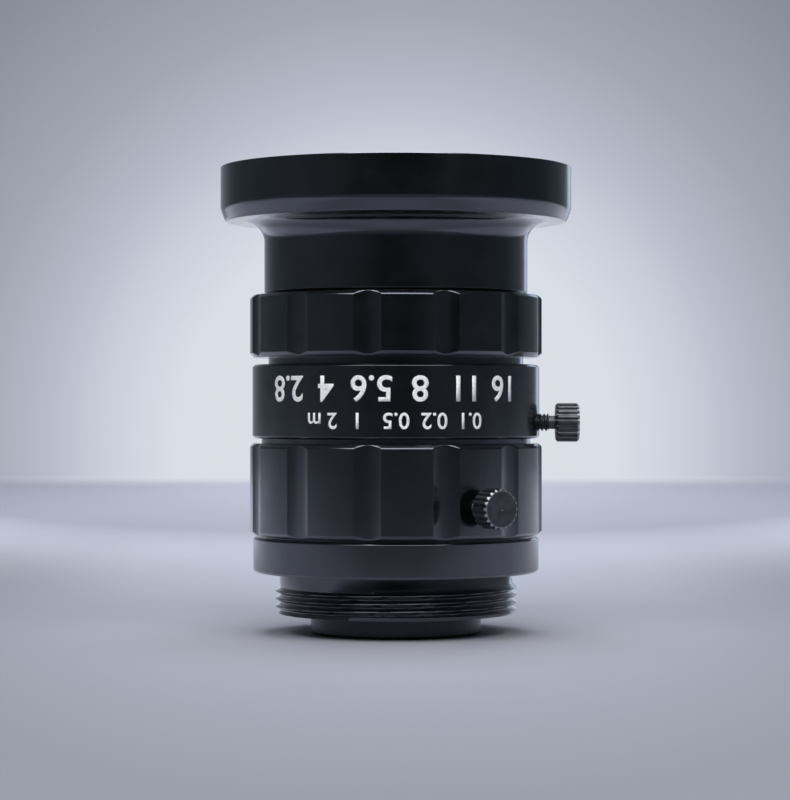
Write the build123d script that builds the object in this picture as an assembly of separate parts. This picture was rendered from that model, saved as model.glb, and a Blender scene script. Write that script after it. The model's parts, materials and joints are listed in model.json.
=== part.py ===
from build123d import *
import math
import os

# A fixed focal length lens with a C-mount thread, standing on its rear cell.
# Millimetres, +Z along the optical axis towards the front, -Y towards the viewer.
# Z = 0 is where the full mount thread starts, on the optical axis.

# Fits and clearances
RUN_GAP = 0.05  # radial and axial play between pieces that turn or slide
THREAD_GAP = 0.02  # radial play of a screwed ring or a seated lens
PIN_GAP = 0.02  # radial play of a small pin in its hole or slot
CEMENT_GAP = 0.02
TIP_GAP = 0.15  # room beyond the end of a pin or screw
CUT_OVERRUN = 0.50  # how far a cutter runs past the wall that it cuts

# Mount thread, 1 inch by 32 turns to the inch, and its shoulder
THREAD_RADIUS = 12.70
THREAD_LENGTH = 2.40
THREAD_LEAD_IN = 0.35
RELIEF_DEPTH = 0.46
UNDERCUT_WIDTH = 0.20  # a small step in the shoulder, so that a camera seats flat on it
UNDERCUT_HEIGHT = 0.10
SHOULDER_Z = 4.00

# Walls and steps that set each radius from the one before, outwards from the mount thread
BASE_LEDGE = 2.32
COLLAR_STEP = 1.42
COLLAR_WALL = 2.55
SPIGOT_STEP = 0.70
HELICOID_STEP = 0.52
HELICOID_GAP = 0.03
RING_WALL = 1.18
BAND_INSET = 0.25
BAND_WALL = 1.63
SKIRT_WALL = 0.85
TUBE_WALL = 1.20
NECK_WALL = 1.31
FLANGE_REACH = 4.59
FLANGE_WALL = 0.92
FILTER_LEDGE = 2.48
REAR_THREAD_WALL = 1.40
REAR_CELL_STEP = 0.67
REAR_CELL_WALL = 1.51
CELL_FLANGE_INSET = 0.40
MOUNT_BORE_GAP = 0.37

# Heights of the turned pieces, from the rear to the front
REAR_CELL_REACH = 2.50
BASE_HEIGHT = 3.70
FOCUS_RING_GAP = 0.17
FOCUS_RING_HEIGHT = 9.58
BAND_GAP = 0.52
BAND_HEIGHT = 7.68
IRIS_RING_GAP = 0.75
IRIS_RING_HEIGHT = 6.52
FRONT_BARREL_GAP = 0.10
NECK_LENGTH = 7.63
FLANGE_HEIGHT = 5.68

# Edges and the concave cove under the flange
EDGE_CHAMFER = 0.25
RING_FOOT_CHAMFER = 0.45
RING_TOP_CHAMFER = 0.35
COVE_RADIUS = 2.15
FLANGE_FOOT_INSET = 0.50
FLANGE_FOOT_HEIGHT = 1.30
FLANGE_TOP_CHAMFER = 0.15

# Flutes milled along both rings, and where the first one lies
FLUTE_COUNT = 12
FLUTE_DEPTH = 0.35
FLUTE_CUTTER_RADIUS = 3.50
FLUTE_START_DEG = -10.7

# Focus drive: collar of the mount, guide pin and multi-start helicoid
COLLAR_HEIGHT = 4.50
RETAINER_HEIGHT = 1.00
RETAINER_INSET = 0.07
SLEEVE_GAP = 0.30
SLEEVE_WALL = 1.22
GUIDE_INSERTION = 2.15
CELL_FLANGE_HEIGHT = 0.35
FOCUS_TRAVEL = 0.45
GUIDE_PIN_RADIUS = 0.60
GUIDE_PIN_DROP = 1.70
GUIDE_PIN_BITE = 0.75
GUIDE_SLOT_FLOOR_GAP = 0.10
GUIDE_PIN_DEG = 90.0

# Thumbscrews that lock the two rings
SCREW_RADIUS = 0.92
SCREW_NECK_RADIUS = 0.70
SCREW_NECK_LENGTH = 0.76
SCREW_DOG_RADIUS = 0.60
SCREW_DOG_LENGTH = 0.90
SCREW_HEAD_RADIUS = 2.03
SCREW_HEAD_HEIGHT = 2.44
SCREW_HEAD_GAP = 1.47
SCREW_HEAD_CHAMFER = 0.20
KNURL_COUNT = 20
KNURL_DEPTH = 0.22
KNURL_TOP_SHARE = 0.16  # half the width of a tooth's top, as a share of the pitch
KNURL_ROOT_SHARE = 0.36  # from the middle of a tooth to the start of the groove's floor
KNURL_MARGIN = 0.01  # keeps the tooth tops on the round face of the blank
FOCUS_SCREW_DROP = 1.10
FOCUS_SCREW_DEG = -56.9
IRIS_SCREW_LIFT = 0.92
IRIS_SCREW_DEG = 0.0
LOCK_GROOVE_DEPTH = 0.80

# Main barrel: the band's floor, the skirt's groove and the seat of the rear lens group
BAND_FLOOR = 0.60
SKIRT_FLOOR_GAP = 0.13
SKIRT_LIP = 0.10
SKIRT_GROOVE_DEPTH = 0.15
SKIRT_GROOVE_WIDTH = 2.00
TUBE_REACH = 2.13
REAR_THREAD_LENGTH = 3.10
REAR_GROUP_STEP = 1.60
REAR_GROUP_LIP = 1.50
SEAT_LIP_HEIGHT = 0.80
FLOOR_OPENING_STEP = 1.60

# Iris: housing, six blades, cam ring and its drive pin
IRIS_WALL = 0.88
IRIS_FLOOR = 0.78
BLADE_COUNT = 6
BLADE_THICKNESS = 0.06
BLADE_FLOOR_GAP = 0.07
BLADE_PITCH = 0.10
BLADE_WIDTH = 2.20
BLADE_SWEEP_DEG = 112.0
BLADE_TURN_DEG = 22.0
PIVOT_INSET = 3.85
PIVOT_TO_BLADE = 1.00
PIVOT_RADIUS = 0.30
PIVOT_BOSS_RADIUS = 0.62
PIVOT_DEPTH = 0.50
TAIL_LENGTH = 1.80
TAIL_BOSS_RADIUS = 0.55
IRIS_OPENING_INSET = 0.30
IRIS_TURN_DEG = 44.0
CAM_HEIGHT = 1.20
CAM_LIFT = 0.12
CAM_BORE_INSET = 1.10
DRIVE_PIN_RADIUS = 0.40
DRIVE_PIN_DEG = 200.0
DRIVE_PIN_BITE = 1.15
DRIVE_SLOT_MARGIN_DEG = 1.5
COVER_HEIGHT = 0.75
COVER_OPENING_STEP = 0.80
COVER_INSET = 0.50

# Accessory thread in the flange
FILTER_THREAD_DEPTH = 2.08
FRONT_BORE_CHAMFER = 0.20

# Screwed rings that hold the lenses, and the seats they press them on
LOCK_RING_HEIGHT = 1.00
FRONT_RING_HEIGHT = 1.30
CELL_RING_WALL = 2.18
RING_OVERHANG = 0.60  # how far a ring reaches in over its lens
LOCK_RING_STEP = 0.50  # how much wider a ring is than its lens
FRONT_RING_STEP = 0.80
RING_RELIEF = 0.30  # how far a ring's thread runs below the lens's rim
SEAT_WIDTH = 1.00
SPANNER_SLOT_WIDTH = 1.20
SPANNER_SLOT_DEPTH = 0.55

# Lenses: thickness at the rim, radius of the ground faces, and the flat left round them
RIM_FLAT = 0.80
WIDE_RIM_FLAT = 1.20
LENS_1_DEPTH = 1.90
LENS_1_RIM = 2.00
LENS_1_CENTRE = 1.24
LENS_1_FRONT_CURVE_RADIUS = 48.0
LENS_1_BACK_CURVE_RADIUS = 16.0
LENS_2_INSET = 2.10
LENS_2_LIFT = 1.60
LENS_2_RIM = 1.80
LENS_2_CENTRE = 0.94
LENS_2_FRONT_CURVE_RADIUS = 32.0
LENS_2_BACK_CURVE_RADIUS = 12.0
MIDDLE_CELL_WALL = 3.46
MIDDLE_CELL_FLARE = 1.20
CELL_RING_INSET = 0.20
MIDDLE_RING_DROP = 0.70
LENS_3_RIM = 1.40
LENS_3_FRONT_CURVE_RADIUS = 22.0
LENS_3_BACK_CURVE_RADIUS = 25.0
LENS_3_AIR_GAP = 0.95
LENS_4_RIM = 3.00
LENS_4_FRONT_CURVE_RADIUS = 18.0
LENS_4_BACK_CURVE_RADIUS = 40.0
LENS_5_RIM = 2.50
LENS_5_FRONT_CURVE_RADIUS = 20.0
DOME_GAP = 0.10  # between the front of lens 5 and the opening that it bulges into
CEMENTED_CURVE_RADIUS = 14.0
CEMENTED_RIM_FLAT = 0.98
LENS_6_RIM = 2.98
LENS_6_BACK_CURVE_RADIUS = 30.0
LENS_7_LIFT = 1.25
LENS_7_RIM = 2.80
LENS_7_FRONT_CURVE_RADIUS = 18.0
LENS_7_BACK_CURVE_RADIUS = 30.0
REAR_CELL_END_GAP = 0.25
MOUTH_FLARE = 0.60


def sag(curve, clear):
    """Height of a ground face between its crown and its edge at the clear radius."""
    return curve - math.sqrt(curve**2 - clear**2)


def hollow_clear(curve, depth):
    """Radius at which a hollow face of that depth meets the flat round it."""
    return math.sqrt(curve**2 - (curve - depth) ** 2)


# Radii that follow from the mount thread and the walls
RELIEF_RADIUS = THREAD_RADIUS - RELIEF_DEPTH
BASE_RADIUS = THREAD_RADIUS + BASE_LEDGE
COLLAR_RADIUS = BASE_RADIUS - COLLAR_STEP
SPIGOT_RADIUS = COLLAR_RADIUS - SPIGOT_STEP
GUIDE_RADIUS = COLLAR_RADIUS - COLLAR_WALL - RUN_GAP
HELICOID_RADIUS = COLLAR_RADIUS + HELICOID_STEP
RING_RADIUS = HELICOID_RADIUS + HELICOID_GAP + RING_WALL
BAND_RADIUS = RING_RADIUS - BAND_INSET
SKIRT_RADIUS = BAND_RADIUS - BAND_WALL - RUN_GAP
SKIRT_BORE = SKIRT_RADIUS - SKIRT_WALL
TUBE_RADIUS = SKIRT_BORE - RUN_GAP
TUBE_BORE = TUBE_RADIUS - TUBE_WALL
CELL_RADIUS = TUBE_BORE - THREAD_GAP
NECK_RADIUS = TUBE_RADIUS + THREAD_GAP + NECK_WALL
FLANGE_RADIUS = NECK_RADIUS + FLANGE_REACH
FILTER_THREAD_RADIUS = FLANGE_RADIUS - FLANGE_WALL
FRONT_RING_BORE = FILTER_THREAD_RADIUS - FILTER_LEDGE
REAR_THREAD_BORE = GUIDE_RADIUS - REAR_THREAD_WALL
REAR_GROUP_BORE = REAR_THREAD_BORE - REAR_GROUP_STEP
REAR_GROUP_APERTURE = REAR_GROUP_BORE - REAR_GROUP_LIP
REAR_CELL_RADIUS = REAR_THREAD_BORE - REAR_CELL_STEP
MOUNT_REAR_BORE = REAR_CELL_RADIUS + MOUNT_BORE_GAP
SCREW_HEAD_START = RING_RADIUS + SCREW_HEAD_GAP
LOCK_GROOVE_WIDTH = 2 * (SCREW_DOG_RADIUS + TIP_GAP)
LENS_1_RADIUS = FRONT_RING_BORE - FRONT_RING_STEP - THREAD_GAP
LENS_2_RADIUS = TUBE_RADIUS - LENS_2_INSET
INNER_LENS_RADIUS = CELL_RADIUS - MIDDLE_CELL_WALL - THREAD_GAP
REAR_GROUP_RADIUS = REAR_GROUP_BORE - THREAD_GAP
LENS_7_RADIUS = REAR_CELL_RADIUS - REAR_CELL_WALL - THREAD_GAP
IRIS_BORE = CELL_RADIUS - IRIS_WALL
CAM_RADIUS = IRIS_BORE - RUN_GAP
PIVOT_CIRCLE_RADIUS = CAM_RADIUS - PIVOT_INSET
BLADE_OUTER_RADIUS = PIVOT_CIRCLE_RADIUS - PIVOT_TO_BLADE
BLADE_INNER_RADIUS = BLADE_OUTER_RADIUS - BLADE_WIDTH
IRIS_OPENING_RADIUS = BLADE_INNER_RADIUS - IRIS_OPENING_INSET

# Heights that follow from the sizes above
REAR_FACE_Z = -REAR_CELL_REACH
BASE_TOP = SHOULDER_Z + BASE_HEIGHT
FOCUS_RING_Z = BASE_TOP + FOCUS_RING_GAP
FOCUS_RING_TOP = FOCUS_RING_Z + FOCUS_RING_HEIGHT
BAND_Z = FOCUS_RING_TOP + BAND_GAP
BAND_TOP = BAND_Z + BAND_HEIGHT
IRIS_RING_Z = BAND_TOP + IRIS_RING_GAP
IRIS_RING_TOP = IRIS_RING_Z + IRIS_RING_HEIGHT
FRONT_BARREL_Z = IRIS_RING_TOP + FRONT_BARREL_GAP
FLANGE_Z = FRONT_BARREL_Z + NECK_LENGTH
FRONT_Z = FLANGE_Z + FLANGE_HEIGHT
FILTER_FLOOR_Z = FRONT_Z - FILTER_THREAD_DEPTH
COLLAR_TOP = BASE_TOP + COLLAR_HEIGHT
RETAINER_TOP = COLLAR_TOP + RETAINER_HEIGHT
SPIGOT_TOP = RETAINER_TOP + RUN_GAP
SLEEVE_Z = SPIGOT_TOP + SLEEVE_GAP
FOCUS_SCREW_Z = COLLAR_TOP - FOCUS_SCREW_DROP
GUIDE_PIN_Z = FOCUS_SCREW_Z - GUIDE_PIN_DROP
GUIDE_START_Z = BASE_TOP - GUIDE_INSERTION
MOUNT_STEP_Z = GUIDE_START_Z - CELL_FLANGE_HEIGHT - TIP_GAP
BAND_FLOOR_TOP = BAND_Z + BAND_FLOOR
SKIRT_Z = BAND_FLOOR_TOP + SKIRT_FLOOR_GAP
IRIS_SCREW_Z = SKIRT_Z + IRIS_SCREW_LIFT
TUBE_TOP = FRONT_BARREL_Z + TUBE_REACH
IRIS_FLOOR_TOP = BAND_FLOOR_TOP + IRIS_FLOOR
BLADE_Z = IRIS_FLOOR_TOP + BLADE_FLOOR_GAP
BLADE_STACK_TOP = BLADE_Z + (BLADE_COUNT - 1) * BLADE_PITCH + BLADE_THICKNESS
CAM_Z = BLADE_STACK_TOP + CAM_LIFT
CAM_TOP = CAM_Z + CAM_HEIGHT
DRIVE_PIN_Z = CAM_Z + CAM_HEIGHT / 2
COVER_TOP = CAM_TOP + RUN_GAP + COVER_HEIGHT
IRIS_HOUSING_TOP = COVER_TOP + COVER_INSET
REAR_GROUP_BORE_Z = GUIDE_START_Z + REAR_THREAD_LENGTH
REAR_CELL_TOP = REAR_GROUP_BORE_Z - REAR_CELL_END_GAP

# Lens stack
LENS_7_SEAT = REAR_FACE_Z + LENS_7_LIFT
LENS_7_TOP = LENS_7_SEAT + LENS_7_RIM
REAR_RING_TOP = LENS_7_TOP + LOCK_RING_HEIGHT
LENS_6_BOTTOM = REAR_GROUP_BORE_Z + LOCK_RING_HEIGHT
LENS_6_TOP = LENS_6_BOTTOM + LENS_6_RIM
LENS_5_BOTTOM = LENS_6_TOP + CEMENT_GAP
REAR_GROUP_SEAT_Z = LENS_5_BOTTOM + LENS_5_RIM
CELL_RING_TOP = TUBE_TOP - CELL_RING_INSET
MIDDLE_CELL_TOP = CELL_RING_TOP - LOCK_RING_HEIGHT
MIDDLE_RING_TOP = MIDDLE_CELL_TOP - MIDDLE_RING_DROP
LENS_3_TOP = MIDDLE_RING_TOP - LOCK_RING_HEIGHT
LENS_3_SEAT = LENS_3_TOP - LENS_3_RIM
LENS_3_CLEAR = INNER_LENS_RADIUS - RIM_FLAT
LENS_4_CLEAR = INNER_LENS_RADIUS - WIDE_RIM_FLAT
LENS_3_BULGE = sag(LENS_3_BACK_CURVE_RADIUS, LENS_3_CLEAR)
LENS_4_BULGE = sag(LENS_4_FRONT_CURVE_RADIUS, LENS_4_CLEAR)
LENS_4_TOP = LENS_3_SEAT - LENS_3_BULGE - LENS_3_AIR_GAP - LENS_4_BULGE
LENS_4_SEAT = LENS_4_TOP - LENS_4_RIM
LENS_2_SEAT = TUBE_TOP + LENS_2_LIFT
LENS_2_TOP = LENS_2_SEAT + LENS_2_RIM
SECOND_RING_TOP = LENS_2_TOP + LOCK_RING_HEIGHT
LENS_1_TOP = FILTER_FLOOR_Z - LENS_1_DEPTH
LENS_1_SEAT = LENS_1_TOP - LENS_1_RIM
FRONT_RING_TOP = LENS_1_TOP + FRONT_RING_HEIGHT


def polar(radius, angle_deg):
    """Point in plan at a radius and an angle."""
    angle = math.radians(angle_deg)
    return (radius * math.cos(angle), radius * math.sin(angle))


def radial_plane(z, angle_deg):
    """Plane on the optical axis at a height, whose normal points out at an angle."""
    return Plane(origin=(0, 0, z), x_dir=(0, 0, 1), z_dir=(*polar(1, angle_deg), 0))


def turned(outline):
    """Solid of revolution about the optical axis from a closed (radius, z) outline."""
    profile = make_face(Polyline([(r, 0, z) for r, z in outline], close=True))
    return revolve(profile, Axis.Z, 360)


def tube(outer, inner, low, high):
    """Plain ring between two radii and two heights."""
    return turned([(inner, low), (outer, low), (outer, high), (inner, high)])


def radial_rod(radius, inner, outer, z, angle_deg):
    """Round rod that points out from the optical axis."""
    return radial_plane(z, angle_deg) * Pos(0, 0, inner) * Cylinder(
        radius, outer - inner, align=(Align.CENTER, Align.CENTER, Align.MIN)
    )


def ring_sector(outer, inner, low, high, start_deg, end_deg):
    """Part of a ring between two angles, such as a slot cutter."""
    profile = make_face(
        Polyline((inner, 0, low), (outer, 0, low), (outer, 0, high), (inner, 0, high), close=True)
    )
    return Rot(0, 0, start_deg) * revolve(profile, Axis.Z, end_deg - start_deg)


def cut_flutes(ring, low, high):
    """Mill the shallow hollows along a grip ring, right through its chamfers."""
    reach = RING_RADIUS - FLUTE_DEPTH + FLUTE_CUTTER_RADIUS
    length = high - low + 2 * CUT_OVERRUN
    for i in range(FLUTE_COUNT):
        x, y = polar(reach, FLUTE_START_DEG + i * 360 / FLUTE_COUNT)
        ring -= Pos(x, y, low - CUT_OVERRUN) * Cylinder(
            FLUTE_CUTTER_RADIUS, length, align=(Align.CENTER, Align.CENTER, Align.MIN)
        )
    return ring


def lock_ring(outer, inner, low, high, slots_up=True):
    """Screwed retaining ring with two slots for a spanner."""
    ring = tube(outer, inner, low, high)
    depth = min(SPANNER_SLOT_DEPTH, (high - low) / 2)
    slot_z = high - depth / 2 if slots_up else low + depth / 2
    return ring - Pos(0, 0, slot_z) * Box(3 * outer, SPANNER_SLOT_WIDTH, depth)


def lens_face(z_edge, clear, curve, facing):
    """Crown point, edge point and arc of one lens face: curve > 0 bulges out, curve < 0 is hollow."""
    rise = facing * math.copysign(1, curve)
    crown = (0, 0, z_edge + rise * sag(abs(curve), clear))
    middle = (clear / 2, 0, crown[2] - rise * sag(abs(curve), clear / 2))
    edge = (clear, 0, z_edge)
    return crown, edge, ThreePointArc(crown, middle, edge)


def lens(radius, low, high, front, back):
    """Glass element between two rim heights: front and back are (curve, clear radius) pairs."""
    front_crown, front_edge, front_arc = lens_face(high, front[1], front[0], 1)
    back_crown, back_edge, back_arc = lens_face(low, back[1], back[0], -1)
    edges = [
        Line(back_crown, front_crown),
        front_arc,
        Line(front_edge, (radius, 0, high)),
        Line((radius, 0, high), (radius, 0, low)),
        Line((radius, 0, low), back_edge),
        back_arc,
    ]
    return revolve(make_face(edges), Axis.Z, 360)


def hollow_backed_lens(radius, low, high, front_curve, back_curve, centre):
    """Lens with a domed front and a hollow back, whose depth follows from the centre thickness."""
    front_clear = radius - RIM_FLAT
    crown = high + sag(front_curve, front_clear)
    depth = crown - centre - low
    back = (-back_curve, hollow_clear(back_curve, depth))
    return lens(radius, low, high, (front_curve, front_clear), back)


def make_mount_base():
    """Thread, shoulder, base ring and the collar that the focus ring turns on."""
    bore = GUIDE_RADIUS + RUN_GAP
    edge = EDGE_CHAMFER
    undercut = THREAD_RADIUS + UNDERCUT_WIDTH
    body = turned([
        (MOUNT_REAR_BORE, -THREAD_LEAD_IN),
        (THREAD_RADIUS - THREAD_LEAD_IN, -THREAD_LEAD_IN),
        (THREAD_RADIUS, 0),
        (THREAD_RADIUS, THREAD_LENGTH),
        (RELIEF_RADIUS, THREAD_LENGTH + RELIEF_DEPTH),
        (RELIEF_RADIUS, SHOULDER_Z + UNDERCUT_HEIGHT),
        (undercut, SHOULDER_Z + UNDERCUT_HEIGHT),
        (undercut, SHOULDER_Z),
        (BASE_RADIUS - edge, SHOULDER_Z),
        (BASE_RADIUS, SHOULDER_Z + edge),
        (BASE_RADIUS, BASE_TOP - edge),
        (BASE_RADIUS - edge, BASE_TOP),
        (COLLAR_RADIUS, BASE_TOP),
        (COLLAR_RADIUS, COLLAR_TOP),
        (SPIGOT_RADIUS, COLLAR_TOP),
        (SPIGOT_RADIUS, SPIGOT_TOP),
        (bore, SPIGOT_TOP),
        (bore, MOUNT_STEP_Z),
        (MOUNT_REAR_BORE, MOUNT_STEP_Z),
    ])
    groove_low = FOCUS_SCREW_Z - LOCK_GROOVE_WIDTH / 2
    groove_high = FOCUS_SCREW_Z + LOCK_GROOVE_WIDTH / 2
    body -= tube(COLLAR_RADIUS + CUT_OVERRUN, COLLAR_RADIUS - LOCK_GROOVE_DEPTH, groove_low, groove_high)
    hole = GUIDE_PIN_RADIUS + PIN_GAP
    inner, outer = bore - CUT_OVERRUN, COLLAR_RADIUS + CUT_OVERRUN
    return body - radial_rod(hole, inner, outer, GUIDE_PIN_Z, GUIDE_PIN_DEG)


def make_guide_pin():
    """Pin in the collar that keeps the barrel from turning as it slides."""
    inner = GUIDE_RADIUS - GUIDE_PIN_BITE
    return radial_rod(GUIDE_PIN_RADIUS, inner, COLLAR_RADIUS - TIP_GAP, GUIDE_PIN_Z, GUIDE_PIN_DEG)


def make_focus_retainer():
    """Ring screwed on the mount's spigot, which holds the focus ring down."""
    outer = HELICOID_RADIUS - RETAINER_INSET
    return lock_ring(outer, SPIGOT_RADIUS + THREAD_GAP, COLLAR_TOP, RETAINER_TOP)


def grip_ring_outline(low, high, bore, foot):
    """Half section of a grip ring with chamfered edges; foot holds the points below them."""
    return foot + [
        (RING_RADIUS - RING_FOOT_CHAMFER, low),
        (RING_RADIUS, low + RING_FOOT_CHAMFER),
        (RING_RADIUS, high - RING_TOP_CHAMFER),
        (RING_RADIUS - RING_TOP_CHAMFER, high),
        (bore, high),
    ]


def make_focus_ring():
    """Fluted ring that turns on the collar; its upper bore holds the helicoid."""
    helicoid_bore = HELICOID_RADIUS + HELICOID_GAP
    collar_bore = COLLAR_RADIUS + RUN_GAP
    step = COLLAR_TOP - RUN_GAP
    outline = grip_ring_outline(FOCUS_RING_Z, FOCUS_RING_TOP, helicoid_bore, [(collar_bore, FOCUS_RING_Z)])
    outline += [(helicoid_bore, step), (collar_bore, step)]
    ring = cut_flutes(turned(outline), FOCUS_RING_Z, FOCUS_RING_TOP)
    hole = SCREW_RADIUS + PIN_GAP
    inner, outer = COLLAR_RADIUS - CUT_OVERRUN, RING_RADIUS + CUT_OVERRUN
    return ring - radial_rod(hole, inner, outer, FOCUS_SCREW_Z, FOCUS_SCREW_DEG)


def make_main_barrel():
    """Sliding barrel: guide tube, helicoid sleeve, label band and the tube for the iris ring."""
    sleeve_bore = HELICOID_RADIUS - SLEEVE_WALL
    pocket_top = BAND_Z - SLEEVE_WALL
    band_bore = SKIRT_RADIUS + RUN_GAP
    edge = EDGE_CHAMFER
    barrel = turned([
        (REAR_THREAD_BORE, GUIDE_START_Z),
        (GUIDE_RADIUS, GUIDE_START_Z),
        (GUIDE_RADIUS, pocket_top),
        (sleeve_bore, pocket_top),
        (sleeve_bore, SLEEVE_Z),
        (HELICOID_RADIUS, SLEEVE_Z),
        (HELICOID_RADIUS, BAND_Z),
        (BAND_RADIUS - edge, BAND_Z),
        (BAND_RADIUS, BAND_Z + edge),
        (BAND_RADIUS, BAND_TOP - edge),
        (BAND_RADIUS - edge, BAND_TOP),
        (band_bore, BAND_TOP),
        (band_bore, BAND_FLOOR_TOP),
        (TUBE_RADIUS, BAND_FLOOR_TOP),
        (TUBE_RADIUS, TUBE_TOP),
        (TUBE_BORE, TUBE_TOP),
        (TUBE_BORE, BAND_FLOOR_TOP),
        (IRIS_OPENING_RADIUS + FLOOR_OPENING_STEP, BAND_FLOOR_TOP),
        (REAR_GROUP_APERTURE, REAR_GROUP_SEAT_Z + SEAT_LIP_HEIGHT),
        (REAR_GROUP_APERTURE, REAR_GROUP_SEAT_Z),
        (REAR_GROUP_BORE, REAR_GROUP_SEAT_Z),
        (REAR_GROUP_BORE, REAR_GROUP_BORE_Z),
        (REAR_THREAD_BORE, REAR_GROUP_BORE_Z),
    ])
    barrel -= drive_slot(TUBE_RADIUS, TUBE_BORE)
    barrel -= guide_slot()
    hole = SCREW_RADIUS + PIN_GAP
    inner, outer = band_bore - RUN_GAP, BAND_RADIUS + CUT_OVERRUN
    return barrel - radial_rod(hole, inner, outer, IRIS_SCREW_Z, IRIS_SCREW_DEG)


def drive_slot(outer, inner):
    """Cutter for the slot through a wall that the iris drive pin sweeps along."""
    half = DRIVE_PIN_RADIUS + RUN_GAP
    side_deg = math.degrees(half / inner) + DRIVE_SLOT_MARGIN_DEG
    return ring_sector(
        outer + CUT_OVERRUN, inner - CUT_OVERRUN, DRIVE_PIN_Z - half, DRIVE_PIN_Z + half,
        DRIVE_PIN_DEG - side_deg, DRIVE_PIN_DEG + IRIS_TURN_DEG + side_deg,
    )


def guide_slot():
    """Cutter for the groove along the guide tube that the guide pin runs in."""
    half = GUIDE_PIN_RADIUS + PIN_GAP
    low = GUIDE_PIN_Z - FOCUS_TRAVEL - half - TIP_GAP
    high = GUIDE_PIN_Z + half + TIP_GAP
    floor = GUIDE_RADIUS - GUIDE_PIN_BITE - GUIDE_SLOT_FLOOR_GAP
    depth = GUIDE_RADIUS + CUT_OVERRUN - floor
    block = Pos(floor + depth / 2, 0, (low + high) / 2) * Box(depth, 2 * half, high - low)
    return Rot(0, 0, GUIDE_PIN_DEG) * block


def make_iris_ring():
    """Fluted ring with a long thin skirt that reaches down inside the label band."""
    skirt = [(SKIRT_BORE, SKIRT_Z), (SKIRT_RADIUS, SKIRT_Z), (SKIRT_RADIUS, IRIS_RING_Z)]
    ring = turned(grip_ring_outline(IRIS_RING_Z, IRIS_RING_TOP, SKIRT_BORE, skirt))
    ring = cut_flutes(ring, IRIS_RING_Z, IRIS_RING_TOP)
    groove_low = SKIRT_Z + SKIRT_LIP
    groove_floor = SKIRT_RADIUS - SKIRT_GROOVE_DEPTH
    ring -= tube(SKIRT_RADIUS + CUT_OVERRUN, groove_floor, groove_low, groove_low + SKIRT_GROOVE_WIDTH)
    notch_top = DRIVE_PIN_Z + DRIVE_PIN_RADIUS + RUN_GAP
    notch_height = notch_top - SKIRT_Z + CUT_OVERRUN
    notch_depth = 2 * (SKIRT_WALL + CUT_OVERRUN)
    width = 2 * (DRIVE_PIN_RADIUS + PIN_GAP)
    notch = Pos(SKIRT_RADIUS, 0, notch_top - notch_height / 2) * Box(notch_depth, width, notch_height)
    return ring - Rot(0, 0, DRIVE_PIN_DEG) * notch


def make_front_barrel():
    """Neck and wide front flange, with seats for the two front lenses and the accessory thread."""
    tube_thread = TUBE_RADIUS + THREAD_GAP
    seat_1 = LENS_1_RADIUS + THREAD_GAP
    seat_2 = LENS_2_RADIUS + THREAD_GAP
    ring_2 = seat_2 + LOCK_RING_STEP
    mouth_2 = LENS_2_RADIUS - SEAT_WIDTH
    cove_start = (NECK_RADIUS, 0, FLANGE_Z - COVE_RADIUS)
    cove_end = (NECK_RADIUS + COVE_RADIUS, 0, FLANGE_Z)
    drop = COVE_RADIUS * math.sqrt(0.5)
    cove_middle = (NECK_RADIUS + COVE_RADIUS - drop, 0, FLANGE_Z - COVE_RADIUS + drop)
    after_cove = [
        (FLANGE_RADIUS - FLANGE_FOOT_INSET, FLANGE_Z),
        (FLANGE_RADIUS, FLANGE_Z + FLANGE_FOOT_HEIGHT),
        (FLANGE_RADIUS, FRONT_Z - FLANGE_TOP_CHAMFER),
        (FLANGE_RADIUS - FLANGE_TOP_CHAMFER, FRONT_Z),
        (FILTER_THREAD_RADIUS + FRONT_BORE_CHAMFER, FRONT_Z),
        (FILTER_THREAD_RADIUS, FRONT_Z - FRONT_BORE_CHAMFER),
        (FILTER_THREAD_RADIUS, FILTER_FLOOR_Z),
        (FRONT_RING_BORE, FILTER_FLOOR_Z),
        (FRONT_RING_BORE, LENS_1_TOP - RING_RELIEF),
        (seat_1, LENS_1_TOP - RING_RELIEF),
        (seat_1, LENS_1_SEAT),
        (LENS_1_RADIUS - SEAT_WIDTH, LENS_1_SEAT),
        (ring_2, SECOND_RING_TOP),
        (ring_2, LENS_2_TOP - RING_RELIEF),
        (seat_2, LENS_2_TOP - RING_RELIEF),
        (seat_2, LENS_2_SEAT),
        (mouth_2, LENS_2_SEAT),
        (mouth_2, TUBE_TOP),
        (tube_thread, TUBE_TOP),
        (tube_thread, FRONT_BARREL_Z),
        (NECK_RADIUS - EDGE_CHAMFER, FRONT_BARREL_Z),
        (NECK_RADIUS, FRONT_BARREL_Z + EDGE_CHAMFER),
    ]
    points = [cove_end] + [(r, 0, z) for r, z in after_cove] + [cove_start]
    outline = make_face([Polyline(points), ThreePointArc(cove_start, cove_middle, cove_end)])
    return revolve(outline, Axis.Z, 360)


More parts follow.
